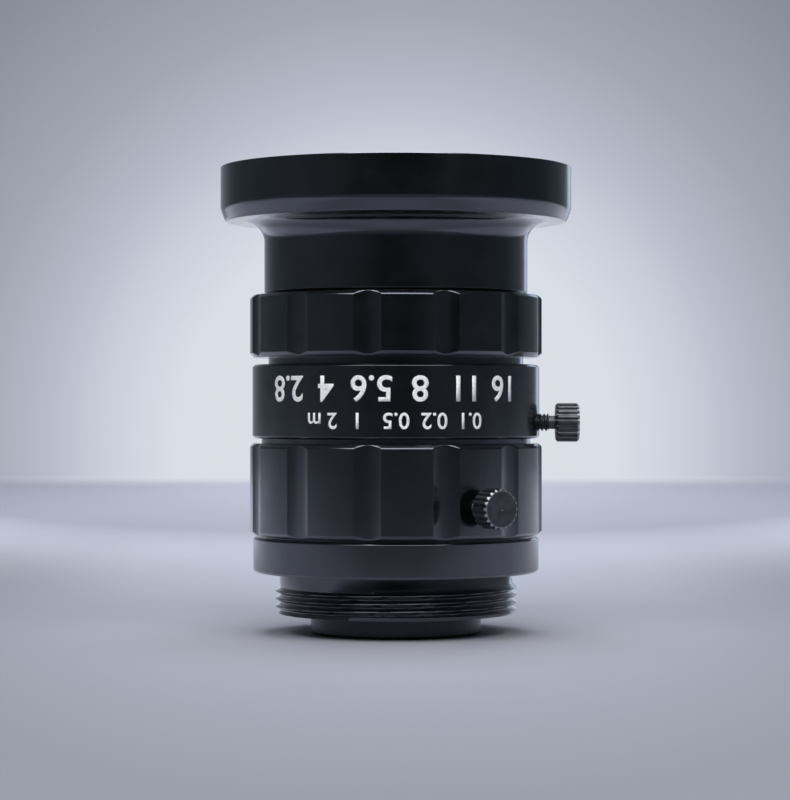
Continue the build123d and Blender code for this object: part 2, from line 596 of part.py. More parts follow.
def make_rear_cell():
    """Cell at the camera end, screwed into the guide tube, which holds the last lens."""
    seat = LENS_7_RADIUS + THREAD_GAP
    ring = seat + LOCK_RING_STEP
    thread = REAR_THREAD_BORE - THREAD_GAP
    flange = GUIDE_RADIUS - CELL_FLANGE_INSET
    mouth = LENS_7_RADIUS - SEAT_WIDTH
    return turned([
        (mouth + MOUTH_FLARE, REAR_FACE_Z),
        (REAR_CELL_RADIUS - EDGE_CHAMFER, REAR_FACE_Z),
        (REAR_CELL_RADIUS, REAR_FACE_Z + EDGE_CHAMFER),
        (REAR_CELL_RADIUS, GUIDE_START_Z - CELL_FLANGE_HEIGHT),
        (flange, GUIDE_START_Z - CELL_FLANGE_HEIGHT),
        (flange, GUIDE_START_Z),
        (thread, GUIDE_START_Z),
        (thread, REAR_CELL_TOP),
        (ring, REAR_CELL_TOP),
        (ring, LENS_7_TOP - RING_RELIEF),
        (seat, LENS_7_TOP - RING_RELIEF),
        (seat, LENS_7_SEAT),
        (mouth, LENS_7_SEAT),
        (mouth, REAR_FACE_Z + MOUTH_FLARE),
    ])


def make_middle_cell():
    """Sleeve in front of the iris that holds the two middle lenses."""
    seat = INNER_LENS_RADIUS + THREAD_GAP
    mouth = INNER_LENS_RADIUS - SEAT_WIDTH
    return turned([
        (mouth, IRIS_HOUSING_TOP),
        (CELL_RADIUS, IRIS_HOUSING_TOP),
        (CELL_RADIUS, MIDDLE_CELL_TOP),
        (seat + MIDDLE_CELL_FLARE, MIDDLE_CELL_TOP),
        (seat, MIDDLE_RING_TOP),
        (seat, LENS_4_SEAT),
        (mouth, LENS_4_SEAT),
    ])


def make_iris_housing():
    """Cup that carries the blade pivots in its floor and guides the cam ring in its wall."""
    cup = turned([
        (IRIS_OPENING_RADIUS, BAND_FLOOR_TOP),
        (CELL_RADIUS, BAND_FLOOR_TOP),
        (CELL_RADIUS, IRIS_HOUSING_TOP),
        (IRIS_BORE, IRIS_HOUSING_TOP),
        (IRIS_BORE, IRIS_FLOOR_TOP),
        (IRIS_OPENING_RADIUS, IRIS_FLOOR_TOP),
    ])
    for i in range(BLADE_COUNT):
        x, y = polar(PIVOT_CIRCLE_RADIUS, i * 360 / BLADE_COUNT)
        cup -= Pos(x, y, IRIS_FLOOR_TOP - PIVOT_DEPTH) * Cylinder(
            PIVOT_RADIUS + PIN_GAP, PIVOT_DEPTH + CUT_OVERRUN, align=(Align.CENTER, Align.CENTER, Align.MIN)
        )
    return cup - drive_slot(CELL_RADIUS, IRIS_BORE)


def tail_point(turn_deg):
    """Where the drive pin of the first blade is in plan, after the blade has turned."""
    x, y = polar(TAIL_LENGTH, turn_deg - 90)
    return (PIVOT_CIRCLE_RADIUS + x, y)


def blade_link(start, end, half_width):
    """Straight arm in plan between two points."""
    dx, dy = end[0] - start[0], end[1] - start[1]
    middle = Pos((start[0] + end[0]) / 2, (start[1] + end[1]) / 2)
    return middle * Rot(0, 0, math.degrees(math.atan2(dy, dx))) * Rectangle(
        math.hypot(dx, dy), 2 * half_width
    )


def make_iris_blade(index):
    """Thin crescent with a pivot pin down into the housing and a drive pin up into the cam ring."""
    middle = BLADE_INNER_RADIUS + BLADE_WIDTH / 2
    half_width = BLADE_WIDTH / 2
    wedge = [(0, 0)] + [polar(3 * BLADE_OUTER_RADIUS, BLADE_SWEEP_DEG * k / 3) for k in range(4)]
    ring = Circle(BLADE_OUTER_RADIUS) - Circle(BLADE_INNER_RADIUS)
    pivot = (PIVOT_CIRCLE_RADIUS, 0)
    tail = tail_point(0)
    plan = ring & make_face(Polyline(wedge, close=True))
    plan += Pos(middle, 0) * Circle(half_width)
    plan += Pos(*polar(middle, BLADE_SWEEP_DEG)) * Circle(half_width)
    plan += Pos(*pivot) * Circle(PIVOT_BOSS_RADIUS)
    plan += Pos(*tail) * Circle(TAIL_BOSS_RADIUS)
    plan += blade_link((middle, 0), pivot, PIVOT_BOSS_RADIUS)
    plan += blade_link(pivot, tail, TAIL_BOSS_RADIUS)
    z = BLADE_Z + index * BLADE_PITCH
    upright = (Align.CENTER, Align.CENTER, Align.MIN)
    blade = Pos(0, 0, z) * extrude(plan, BLADE_THICKNESS)
    pivot_foot = IRIS_FLOOR_TOP - PIVOT_DEPTH + PIN_GAP
    blade += Pos(*pivot, pivot_foot) * Cylinder(PIVOT_RADIUS, z - pivot_foot, align=upright)
    pin_top = CAM_TOP - PIN_GAP
    blade += Pos(*tail, z) * Cylinder(PIVOT_RADIUS, pin_top - z, align=upright)
    return Rot(0, 0, index * 360 / BLADE_COUNT) * blade


def cam_slot():
    """Slot that turns a blade evenly: the path of its drive pin, seen from the turning cam ring."""
    half = PIVOT_RADIUS + PIN_GAP
    steps = 8
    path = []
    for k in range(steps + 1):
        part = k / steps
        x, y = tail_point(BLADE_TURN_DEG * part)
        back = math.radians(-IRIS_TURN_DEG * part)
        path.append((
            x * math.cos(back) - y * math.sin(back),
            x * math.sin(back) + y * math.cos(back),
        ))
    centre = Spline(path)
    outside, inside = [], []
    for k in range(steps + 1):
        point = centre @ (k / steps)
        along = centre % (k / steps)
        across = Vector(-along.Y, along.X) * half
        outside.append(point + across)
        inside.append(point - across)
    start_cap = (centre @ 0) - (centre % 0) * half
    end_cap = (centre @ 1) + (centre % 1) * half
    outline = make_face([
        Spline(outside),
        ThreePointArc(outside[-1], end_cap, inside[-1]),
        Spline(inside),
        ThreePointArc(inside[0], start_cap, outside[0]),
    ])
    return Pos(0, 0, CAM_Z - CUT_OVERRUN) * extrude(outline, CAM_HEIGHT + 2 * CUT_OVERRUN)


def make_iris_cam_ring():
    """Ring with one curved slot for each blade, turned by the drive pin."""
    ring = tube(CAM_RADIUS, PIVOT_CIRCLE_RADIUS - CAM_BORE_INSET, CAM_Z, CAM_TOP)
    slot = cam_slot()
    for i in range(BLADE_COUNT):
        ring -= Rot(0, 0, i * 360 / BLADE_COUNT) * slot
    hole = DRIVE_PIN_RADIUS + PIN_GAP
    inner, outer = CAM_RADIUS - DRIVE_PIN_BITE, CAM_RADIUS + CUT_OVERRUN
    return ring - radial_rod(hole, inner, outer, DRIVE_PIN_Z, DRIVE_PIN_DEG)


def make_iris_drive_pin():
    """Pin from the cam ring out through both slots to the notch in the skirt."""
    inner, outer = CAM_RADIUS - DRIVE_PIN_BITE, SKIRT_RADIUS - SKIRT_GROOVE_DEPTH
    return radial_rod(DRIVE_PIN_RADIUS, inner, outer, DRIVE_PIN_Z, DRIVE_PIN_DEG)


def make_iris_cover():
    """Screwed ring that holds the cam ring down."""
    opening = IRIS_OPENING_RADIUS + COVER_OPENING_STEP
    return lock_ring(IRIS_BORE - THREAD_GAP, opening, CAM_TOP + RUN_GAP, COVER_TOP)


def make_thumbscrew(tip, z, angle_deg):
    """Knurled thumbscrew that points at the optical axis, with a plain dog point."""
    head_end = SCREW_HEAD_START + SCREW_HEAD_HEIGHT
    edge = SCREW_HEAD_CHAMFER
    neck_start = SCREW_HEAD_START - SCREW_NECK_LENGTH
    dog_end = tip + SCREW_DOG_LENGTH
    shank = make_face(Polyline([
        (0, 0, tip),
        (SCREW_DOG_RADIUS, 0, tip),
        (SCREW_DOG_RADIUS, 0, dog_end),
        (SCREW_RADIUS, 0, dog_end + SCREW_RADIUS - SCREW_DOG_RADIUS),
        (SCREW_RADIUS, 0, neck_start),
        (SCREW_NECK_RADIUS, 0, neck_start),
        (SCREW_NECK_RADIUS, 0, SCREW_HEAD_START),
        (0, 0, SCREW_HEAD_START),
    ], close=True))
    blank = make_face(Polyline([
        (0, 0, SCREW_HEAD_START),
        (SCREW_HEAD_RADIUS - edge, 0, SCREW_HEAD_START),
        (SCREW_HEAD_RADIUS, 0, SCREW_HEAD_START + edge),
        (SCREW_HEAD_RADIUS, 0, head_end - edge),
        (SCREW_HEAD_RADIUS - edge, 0, head_end),
        (0, 0, head_end),
    ], close=True))
    teeth = []
    pitch = 360 / KNURL_COUNT
    top = SCREW_HEAD_RADIUS + KNURL_MARGIN
    root = SCREW_HEAD_RADIUS - KNURL_DEPTH
    for i in range(KNURL_COUNT):
        teeth.append(polar(top, (i - KNURL_TOP_SHARE) * pitch))
        teeth.append(polar(top, (i + KNURL_TOP_SHARE) * pitch))
        teeth.append(polar(root, (i + KNURL_ROOT_SHARE) * pitch))
        teeth.append(polar(root, (i + 1 - KNURL_ROOT_SHARE) * pitch))
    star = extrude(make_face(Polyline(teeth, close=True)), SCREW_HEAD_HEIGHT)
    head = revolve(blank, Axis.Z, 360) & Pos(0, 0, SCREW_HEAD_START) * star
    screw = head + revolve(shank, Axis.Z, 360)
    return radial_plane(z, angle_deg) * screw


def make_lens_1():
    """Large hollow-backed front lens."""
    return hollow_backed_lens(
        LENS_1_RADIUS, LENS_1_SEAT, LENS_1_TOP,
        LENS_1_FRONT_CURVE_RADIUS, LENS_1_BACK_CURVE_RADIUS, LENS_1_CENTRE,
    )


def make_lens_2():
    """Second lens, also hollow at the back."""
    return hollow_backed_lens(
        LENS_2_RADIUS, LENS_2_SEAT, LENS_2_TOP,
        LENS_2_FRONT_CURVE_RADIUS, LENS_2_BACK_CURVE_RADIUS, LENS_2_CENTRE,
    )


def make_lens_3():
    """Lens with a hollow front and a bulging back."""
    front = (-LENS_3_FRONT_CURVE_RADIUS, LENS_3_CLEAR)
    back = (LENS_3_BACK_CURVE_RADIUS, LENS_3_CLEAR)
    return lens(INNER_LENS_RADIUS, LENS_3_SEAT, LENS_3_TOP, front, back)


def make_lens_4():
    """Thick lens that bulges both ways, in front of the iris."""
    front = (LENS_4_FRONT_CURVE_RADIUS, LENS_4_CLEAR)
    back = (LENS_4_BACK_CURVE_RADIUS, LENS_4_CLEAR)
    return lens(INNER_LENS_RADIUS, LENS_4_SEAT, LENS_4_TOP, front, back)


def make_lens_5():
    """Front half of the cemented pair behind the iris."""
    front = (LENS_5_FRONT_CURVE_RADIUS, REAR_GROUP_APERTURE - DOME_GAP)
    back = (CEMENTED_CURVE_RADIUS, REAR_GROUP_RADIUS - CEMENTED_RIM_FLAT)
    return lens(REAR_GROUP_RADIUS, LENS_5_BOTTOM, REAR_GROUP_SEAT_Z, front, back)


def make_lens_6():
    """Rear half of the cemented pair."""
    front = (-CEMENTED_CURVE_RADIUS, REAR_GROUP_RADIUS - CEMENTED_RIM_FLAT)
    back = (LENS_6_BACK_CURVE_RADIUS, REAR_GROUP_RADIUS - WIDE_RIM_FLAT)
    return lens(REAR_GROUP_RADIUS, LENS_6_BOTTOM, LENS_6_TOP, front, back)


def make_lens_7():
    """Last lens, in the rear cell."""
    clear = LENS_7_RADIUS - WIDE_RIM_FLAT
    front = (LENS_7_FRONT_CURVE_RADIUS, clear)
    back = (LENS_7_BACK_CURVE_RADIUS, clear)
    return lens(LENS_7_RADIUS, LENS_7_SEAT, LENS_7_TOP, front, back)


def make_lens_ring(lens_radius, step, low, high):
    """Lock ring that is wider than its lens by a step and reaches in over its rim."""
    return lock_ring(lens_radius + step, lens_radius - RING_OVERHANG, low, high)


def make_cell_lock_ring():
    """Ring that holds the middle cell down in the tube."""
    return lock_ring(CELL_RADIUS, CELL_RADIUS - CELL_RING_WALL, MIDDLE_CELL_TOP, CELL_RING_TOP)


def make_rear_group_ring():
    """Ring that holds the cemented pair from behind."""
    inner = REAR_GROUP_RADIUS - RING_OVERHANG
    return lock_ring(REAR_GROUP_RADIUS, inner, REAR_GROUP_BORE_Z, LENS_6_BOTTOM, slots_up=False)


focus_screw_tip = COLLAR_RADIUS - LOCK_GROOVE_DEPTH + TIP_GAP
iris_screw_tip = SKIRT_RADIUS - SKIRT_GROOVE_DEPTH + TIP_GAP
parts = {
    "mount_base": make_mount_base(),
    "guide_pin": make_guide_pin(),
    "focus_retainer": make_focus_retainer(),
    "focus_ring": make_focus_ring(),
    "focus_lock_screw": make_thumbscrew(focus_screw_tip, FOCUS_SCREW_Z, FOCUS_SCREW_DEG),
    "main_barrel": make_main_barrel(),
    "iris_ring": make_iris_ring(),
    "iris_lock_screw": make_thumbscrew(iris_screw_tip, IRIS_SCREW_Z, IRIS_SCREW_DEG),
    "iris_housing": make_iris_housing(),
    "iris_cam_ring": make_iris_cam_ring(),
    "iris_drive_pin": make_iris_drive_pin(),
    "iris_cover": make_iris_cover(),
    "front_barrel": make_front_barrel(),
    "rear_cell": make_rear_cell(),
    "middle_cell": make_middle_cell(),
    "lens_1": make_lens_1(),
    "lens_2": make_lens_2(),
    "lens_3": make_lens_3(),
    "lens_4": make_lens_4(),
    "lens_5": make_lens_5(),
    "lens_6": make_lens_6(),
    "lens_7": make_lens_7(),
    "front_lock_ring": make_lens_ring(LENS_1_RADIUS, FRONT_RING_STEP, LENS_1_TOP, FRONT_RING_TOP),
    "second_lock_ring": make_lens_ring(LENS_2_RADIUS, LOCK_RING_STEP, LENS_2_TOP, SECOND_RING_TOP),
    "middle_lock_ring": make_lens_ring(INNER_LENS_RADIUS, 0, LENS_3_TOP, MIDDLE_RING_TOP),
    "cell_lock_ring": make_cell_lock_ring(),
    "lens_spacer": tube(INNER_LENS_RADIUS, INNER_LENS_RADIUS - RING_OVERHANG, LENS_4_TOP, LENS_3_SEAT),
    "rear_group_ring": make_rear_group_ring(),
    "rear_lock_ring": make_lens_ring(LENS_7_RADIUS, LOCK_RING_STEP, LENS_7_TOP, REAR_RING_TOP),
}
for i in range(BLADE_COUNT):
    parts[f"iris_blade_{i + 1}"] = make_iris_blade(i)

os.makedirs("parts", exist_ok=True)
for name, shape in parts.items():
    export_step(shape, f"parts/{name}.step")
    box = shape.bounding_box()
    print(name, "z", round(box.min.Z, 2), "to", round(box.max.Z, 2), "volume", round(shape.volume, 1))
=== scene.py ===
# %% [markdown]
# # A machine vision lens
# The lens is a stack of turned, black anodised aluminium pieces with glass inside. Its solids, sizes
# and joints come from the frame. This script dresses them: each visible turned piece is made again
# as a fine surface with its real edge radii, flutes, knurls and threads, and every piece gets the
# finish of the real one. The lens is worked out in millimetres, and a mesh turns them to metres. The
# studio round it is in metres from the start.

# %% Load the frame
import json
import math
import bmesh
import bpy
import numpy as np
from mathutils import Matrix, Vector

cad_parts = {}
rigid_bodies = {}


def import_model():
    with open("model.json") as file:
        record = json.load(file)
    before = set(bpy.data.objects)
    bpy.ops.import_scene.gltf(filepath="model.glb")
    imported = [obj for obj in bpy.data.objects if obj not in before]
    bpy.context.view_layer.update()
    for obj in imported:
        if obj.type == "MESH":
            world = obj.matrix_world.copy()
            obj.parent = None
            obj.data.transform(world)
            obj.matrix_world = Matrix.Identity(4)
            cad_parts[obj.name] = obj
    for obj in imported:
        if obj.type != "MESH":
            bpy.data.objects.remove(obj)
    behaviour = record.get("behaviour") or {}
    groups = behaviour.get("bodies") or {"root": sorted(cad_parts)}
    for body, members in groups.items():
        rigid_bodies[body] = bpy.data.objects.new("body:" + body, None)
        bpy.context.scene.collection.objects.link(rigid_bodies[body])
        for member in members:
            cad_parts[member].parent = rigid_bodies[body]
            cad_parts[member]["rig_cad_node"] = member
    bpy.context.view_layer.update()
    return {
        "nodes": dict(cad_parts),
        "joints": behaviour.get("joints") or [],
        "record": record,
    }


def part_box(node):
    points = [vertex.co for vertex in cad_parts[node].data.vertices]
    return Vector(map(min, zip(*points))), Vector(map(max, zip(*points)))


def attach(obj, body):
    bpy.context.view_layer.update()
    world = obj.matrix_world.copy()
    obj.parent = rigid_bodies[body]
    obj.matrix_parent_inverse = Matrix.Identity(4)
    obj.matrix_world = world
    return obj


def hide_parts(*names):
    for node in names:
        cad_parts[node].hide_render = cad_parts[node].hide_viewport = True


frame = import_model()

MM = 0.001
scene = bpy.context.scene

# %% [markdown]
# ## Heights and radii from the frame
# The solids already hold the outside sizes, so the script asks them instead of repeating numbers.
# Only a shape that a box can't tell, such as a bore or a chamfer, is a value of its own later on.


# %% Read sizes from the solids
def low_z(node):
    """Height of a solid's lowest point, in millimetres."""
    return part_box(node)[0].z / MM


def high_z(node):
    """Height of a solid's highest point, in millimetres."""
    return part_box(node)[1].z / MM


def outer_radius(node):
    """Largest radius of a solid turned about the optical axis, in millimetres."""
    low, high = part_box(node)
    return (high.y - low.y) / 2 / MM


FLANGE_R = outer_radius("front_barrel")
FRONT_Z = high_z("front_barrel")
BARREL_FOOT_Z = low_z("front_barrel")
GRIP_R = outer_radius("focus_ring")
BAND_R = outer_radius("main_barrel")
BASE_R = outer_radius("mount_base")
REAR_Z = low_z("rear_cell")
THREAD_FOOT_Z = low_z("mount_base")
print("flange radius", round(FLANGE_R, 3), "grip radius", round(GRIP_R, 3), "front at", round(FRONT_Z, 3))

# %% [markdown]
# ## Turned surfaces
# A lathe makes a solid by carrying one half section round an axis, and numpy can do the same: the
# section is an array of radius and height, the angles are another array, and their outer product is
# the whole piece. Blender's Screw modifier turns a section too, but here the threads, flutes and
# knurls can still move every point of the grid. Real edges are never sharp. A hair-thin radius on
# each corner catches the light as a bright line, so `soften` turns each corner into a short arc, and
# leaves a narrow support row on each side of it so that the flats beside it still shade flat. A
# Bevel modifier would round each edge alike, where a real piece has sharp, broken and worn ones.

# %% Half sections with softened corners
EDGE_SOFT = 0.07  # radius of a machined edge that a file has broken
ARC_SHARE = 0.4  # the most of its shorter side that a corner's arc may take
GUARD_REACH, GUARD_SHARE = 0.25, 0.04  # how far outside an arc its support rows may lie
TOUCH = 1e-6


def soften(corners, steps=3, closed=True):
    """Corners (r, z, radius) to a finer outline of (r, z), in which each corner is an arc.

    The arc starts and ends at distance radius * tan(turn / 2) from the corner, and a quadratic
    Bezier through the corner stands for it. A radius of 0 keeps a corner sharp.
    """
    corners = np.asarray(corners, float)
    points, radii = corners[:, :2], corners[:, 2]
    before, after = np.roll(points, 1, axis=0), np.roll(points, -1, axis=0)
    t = np.linspace(0, 1, steps + 1)[:, None]
    outline = []
    for i, point in enumerate(points):
        end = not closed and i in (0, len(points) - 1)
        if radii[i] == 0 or end:
            outline.append(point[None])
            continue
        to_last, to_next = before[i] - point, after[i] - point
        sides = np.array([np.linalg.norm(to_last), np.linalg.norm(to_next)])
        cosine = np.dot(to_last, to_next) / sides.prod()
        turn = math.pi - math.acos(max(-1, min(1, cosine)))
        reach = min(radii[i] * math.tan(turn / 2), ARC_SHARE * sides.min())
        start = point + to_last / sides[0] * reach
        stop = point + to_next / sides[1] * reach
        arc = (1 - t) ** 2 * start + 2 * t * (1 - t) * point + t**2 * stop
        guard = min(GUARD_REACH * reach, GUARD_SHARE * sides.min())
        outline.append(start[None] + to_last / sides[0] * guard)
        outline.append(arc)
        outline.append(stop[None] + to_next / sides[1] * guard)
    return np.concatenate(outline)


def subdivided(outline, low, high, step):
    """Outline with extra rows where it runs between two heights, no further apart than step."""
    rows = [outline[0][None]]
    for a, b in zip(outline[:-1], outline[1:]):
        inside = min(a[1], b[1]) >= low - TOUCH and max(a[1], b[1]) <= high + TOUCH
        cuts = max(1, math.ceil(np.linalg.norm(b - a) / step)) if inside else 1
        share = np.linspace(0, 1, cuts + 1)[1:, None]
        rows.append(a + (b - a) * share)
    return np.concatenate(rows)


# %% Carry a section round the axis
def even_angles(count):
    """Angles all the way round, in radians, without repeating the first."""
    return np.arange(count) * 2 * math.pi / count


def add_object(name, data):
    """New object in the scene that shows the data."""
    made = bpy.data.objects.new(name, data)
    scene.collection.objects.link(made)
    return made


def make_mesh_object(name, points, faces):
    """New object from vertices in millimetres, with smooth faces."""
    mesh = bpy.data.meshes.new(name)
    mesh.from_pydata((np.asarray(points) * MM).tolist(), [], faces)
    mesh.validate()
    mesh.polygons.foreach_set("use_smooth", np.ones(len(mesh.polygons), bool))
    return add_object(name, mesh)


def grid_faces(rows, columns, wrap_rows):
    """Quads of a grid whose columns run all the way round, as index quadruples."""
    i = np.arange(rows if wrap_rows else rows - 1)[:, None]
    j = np.arange(columns)[None, :]
    down, right = (i + 1) % rows, (j + 1) % columns
    quads = np.stack([
        i * columns + j, i * columns + right, down * columns + right, down * columns + j,
    ], -1)
    return quads.reshape(-1, 4)


def signed_area(outline):
    """Area inside an outline of (r, z) points, positive when it runs anticlockwise."""
    r, z = outline[:, 0], outline[:, 1]
    return 0.5 * np.sum(r * np.roll(z, -1) - np.roll(r, -1) * z)


def turned(name, outline, angles, shape=None, place=None, sharp_deg=50):
    """Solid of revolution: point (i, j) = (R cos a_j, R sin a_j, Z) from outline row i.

    shape(r, z, a) may change radius and height over the whole grid, for flutes, knurls and
    threads. An outline whose ends lie on the axis is closed by one point at each end. place is a
    matrix that carries the finished points to where the piece is. Edges that turn by more than
    sharp_deg shade sharp.
    """
    on_axis = outline[0][0] < TOUCH and outline[-1][0] < TOUCH
    body = outline[1:-1] if on_axis else outline
    r = np.repeat(body[:, :1], len(angles), axis=1)
    z = np.repeat(body[:, 1:], len(angles), axis=1)
    a = np.repeat(angles[None, :], len(body), axis=0)
    if shape is not None:
        r, z = shape(r, z, a)
    points = np.stack([r * np.cos(a), r * np.sin(a), z], -1).reshape(-1, 3)
    faces = grid_faces(len(body), len(angles), wrap_rows=not on_axis).tolist()
    if on_axis:
        first, last = len(points), len(points) + 1
        points = np.concatenate([points, [[0, 0, outline[0][1]], [0, 0, outline[-1][1]]]])
        j = np.arange(len(angles))
        k = (j + 1) % len(angles)
        base = (len(body) - 1) * len(angles)
        faces += np.stack([np.full_like(j, first), k, j], -1).tolist()
        faces += np.stack([np.full_like(j, last), base + j, base + k], -1).tolist()
    if signed_area(outline) <= 0:
        faces = [face[::-1] for face in faces]
    if place is not None:
        points = points @ place[:3, :3].T + place[:3, 3]
    made = make_mesh_object(name, points, faces)
    made.data.set_sharp_from_angle(angle=math.radians(sharp_deg))
    print(name, len(made.data.vertices), "vertices")
    return made


def slot_of(node):
    """Name of a solid's material slot in the record."""
    return next(s["material_slot"] for s in frame["record"]["subparts"] if s["node"] == node)


def ride_for(piece, node):
    """Let a new piece stand for one solid: put it on the solid's own body and hide the solid."""
    body = next(b for b, names in frame["record"]["behaviour"]["bodies"].items() if node in names)
    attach(piece, body)
    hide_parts(node)


# %% [markdown]
# ## Mount base with its thread
# The rear of the lens carries a 1 inch thread with 32 turns to the inch. A screw thread is a V
# wound round the bar, so the radius falls by a sawtooth of the height over the pitch less the turn:
# the same formula for every point of the grid gives a true right-hand helix. A V swept along a
# helix would have to be merged with the bar and would end in a seam. Close rows are added only along
# the thread. The first turn dies out in the lead-in chamfer and the last in the relief. A small
# undercut in the shoulder lets a camera's mount sit flat on it.

# %% Thread shape
THREAD_PITCH = 25.4 / 32
THREAD_DEPTH = 0.55
THREAD_FLAT = 0.10
THREAD_R = 12.70
THREAD_END_Z = 2.40
THREAD_ROW = 0.045  # height of a row of faces, about 18 to a turn
FLANK_ROUND = 0.25  # share of a flank that is a smooth curve, the rest being straight
RELIEF_R = 12.24
RUN_OUT = 0.06  # how far the last turn runs into the relief's cone


def thread_cut(z, a, pitch, depth, flat):
    """Depth of a V thread at a height and angle: 0 on a crest, and all of depth at the root.

    The turn, z / pitch - a / (2 pi), is 0 in the middle of a crest and 0.5 at the root. flat is
    the share of half a pitch that is level at both.
    """
    turn = (z / pitch - a / (2 * math.pi)) % 1.0
    from_root = np.abs(turn - 0.5) * 2
    slope = np.clip((1 - from_root - flat) / (1 - 2 * flat), 0, 1)
    return depth * (FLANK_ROUND * slope * slope * (3 - 2 * slope) + (1 - FLANK_ROUND) * slope)


def mount_thread(r, z, a):
    """Wind the mount thread into every outer point between the foot and the relief."""
    outside = r > RELIEF_R - THREAD_DEPTH
    along = (z > THREAD_FOOT_Z - TOUCH) & (z < THREAD_END_Z + RUN_OUT)
    cut = THREAD_R - thread_cut(z, a, THREAD_PITCH, THREAD_DEPTH, THREAD_FLAT)
    return np.where(outside & along, np.minimum(r, cut), r), z


# %% Mount base
EDGE_CHAMFER = 0.25
SHOULDER_Z, BASE_TOP_Z = 4.00, 7.70
UNDERCUT_WIDTH, UNDERCUT_HEIGHT = 0.20, 0.10
MOUNT_BORE, GUIDE_BORE, MOUNT_STEP_Z = 9.30, 11.05, 5.05
COLLAR_R, COLLAR_TOP_Z = 13.60, 12.20
SPIGOT_R, SPIGOT_TOP_Z = 12.90, 13.25
LEAD_IN = 0.35

base_outline = soften([
    (MOUNT_BORE, THREAD_FOOT_Z, 0.05),
    (THREAD_R - LEAD_IN, THREAD_FOOT_Z, 0.03),
    (THREAD_R, THREAD_FOOT_Z + LEAD_IN, 0),
    (THREAD_R, THREAD_END_Z, 0),
    (RELIEF_R, THREAD_END_Z + THREAD_R - RELIEF_R, 0),
    (RELIEF_R, SHOULDER_Z + UNDERCUT_HEIGHT, 0),
    (THREAD_R + UNDERCUT_WIDTH, SHOULDER_Z + UNDERCUT_HEIGHT, 0),
    (THREAD_R + UNDERCUT_WIDTH, SHOULDER_Z, 0.03),
    (BASE_R - EDGE_CHAMFER, SHOULDER_Z, EDGE_SOFT),
    (BASE_R, SHOULDER_Z + EDGE_CHAMFER, EDGE_SOFT),
    (BASE_R, BASE_TOP_Z - EDGE_CHAMFER, EDGE_SOFT),
    (BASE_R - EDGE_CHAMFER, BASE_TOP_Z, EDGE_SOFT),
    (COLLAR_R, BASE_TOP_Z, 0),
    (COLLAR_R, COLLAR_TOP_Z, 0),
    (SPIGOT_R, COLLAR_TOP_Z, 0),
    (SPIGOT_R, SPIGOT_TOP_Z, 0),
    (GUIDE_BORE, SPIGOT_TOP_Z, 0),
    (GUIDE_BORE, MOUNT_STEP_Z, 0),
    (MOUNT_BORE, MOUNT_STEP_Z, 0),
])
base_outline = subdivided(base_outline, THREAD_FOOT_Z + 0.02, THREAD_END_Z + 0.10, THREAD_ROW)
ride_for(turned("mount_base_turned", base_outline, even_angles(420), mount_thread), "mount_base")

# %% [markdown]
# ## Fluted grip rings
# Twelve shallow hollows are milled along each ring by a round cutter, so that fingers can turn it.
# A point under a flute lies where the ray from the axis meets the cutter's circle, and the
# smaller of that radius and the turned radius is the metal that is left. Twelve boolean cuts would
# do the same, but leave ragged triangles along each edge, and a soft minimum rounds that edge by a
# few hundredths. The columns are closer over each flute than over a land.

# %% Flute shape
FLUTES = 12
FLUTE_PERIOD = 2 * math.pi / FLUTES
FLUTE_DEPTH = 0.35
FLUTE_BLEND = 0.035  # width of the rounded edge between a flute and a land
FLUTE_START = math.radians(-10.7)
CUTTER_R = 3.50
CUTTER_OFF_AXIS = GRIP_R - FLUTE_DEPTH + CUTTER_R
FLUTE_HALF = math.asin(1.39 / GRIP_R)  # a flute is 2.78 wide where it meets the lands
OUTER_WALL = 1.0  # the flutes are cut only into points this near to the grip radius


def fluted_angles():
    """Angles round a grip ring: close together at each flute's edges, wider on the lands."""
    edge = FLUTE_HALF * np.array([-1.10, -1.05, -1.02, -1.0, -0.98, -0.95, -0.9])
    floor = FLUTE_HALF * np.linspace(-0.8, 0.8, 9)
    land = np.linspace(1.3 * FLUTE_HALF, FLUTE_PERIOD - 1.3 * FLUTE_HALF, 9)
    one = np.concatenate([edge, floor, -edge[::-1], land])
    return np.concatenate([FLUTE_START + one + k * FLUTE_PERIOD for k in range(FLUTES)])


def flutes(r, z, a):
    """Leave the smaller of the turned radius and the distance to the cutter's near side."""
    off = (a - FLUTE_START + FLUTE_PERIOD / 2) % FLUTE_PERIOD - FLUTE_PERIOD / 2
    inside = CUTTER_R**2 - (CUTTER_OFF_AXIS * np.sin(off)) ** 2
    near = CUTTER_OFF_AXIS * np.cos(off) - np.sqrt(np.maximum(inside, 0))
    near = np.where(inside > 0, near, r + 1)
    h = np.clip(0.5 + 0.5 * (near - r) / FLUTE_BLEND, 0, 1)
    smooth = near * (1 - h) + r * h - FLUTE_BLEND * h * (1 - h)
    return np.where(r > GRIP_R - OUTER_WALL, smooth, r), z


# %% Focus ring and iris ring
RING_FOOT_CHAMFER, RING_TOP_CHAMFER = 0.45, 0.35
CROWN_SOFT = 0.28  # the upper edge is polished rounder, and shows as a thin glint
CHAMFER_ROW = 0.08
COLLAR_BORE, COLLAR_STEP_Z, HELICOID_BORE = 13.65, 12.15, 14.15
IRIS_RING_HEIGHT = 6.52
SKIRT_R, SKIRT_BORE = 13.40, 12.55


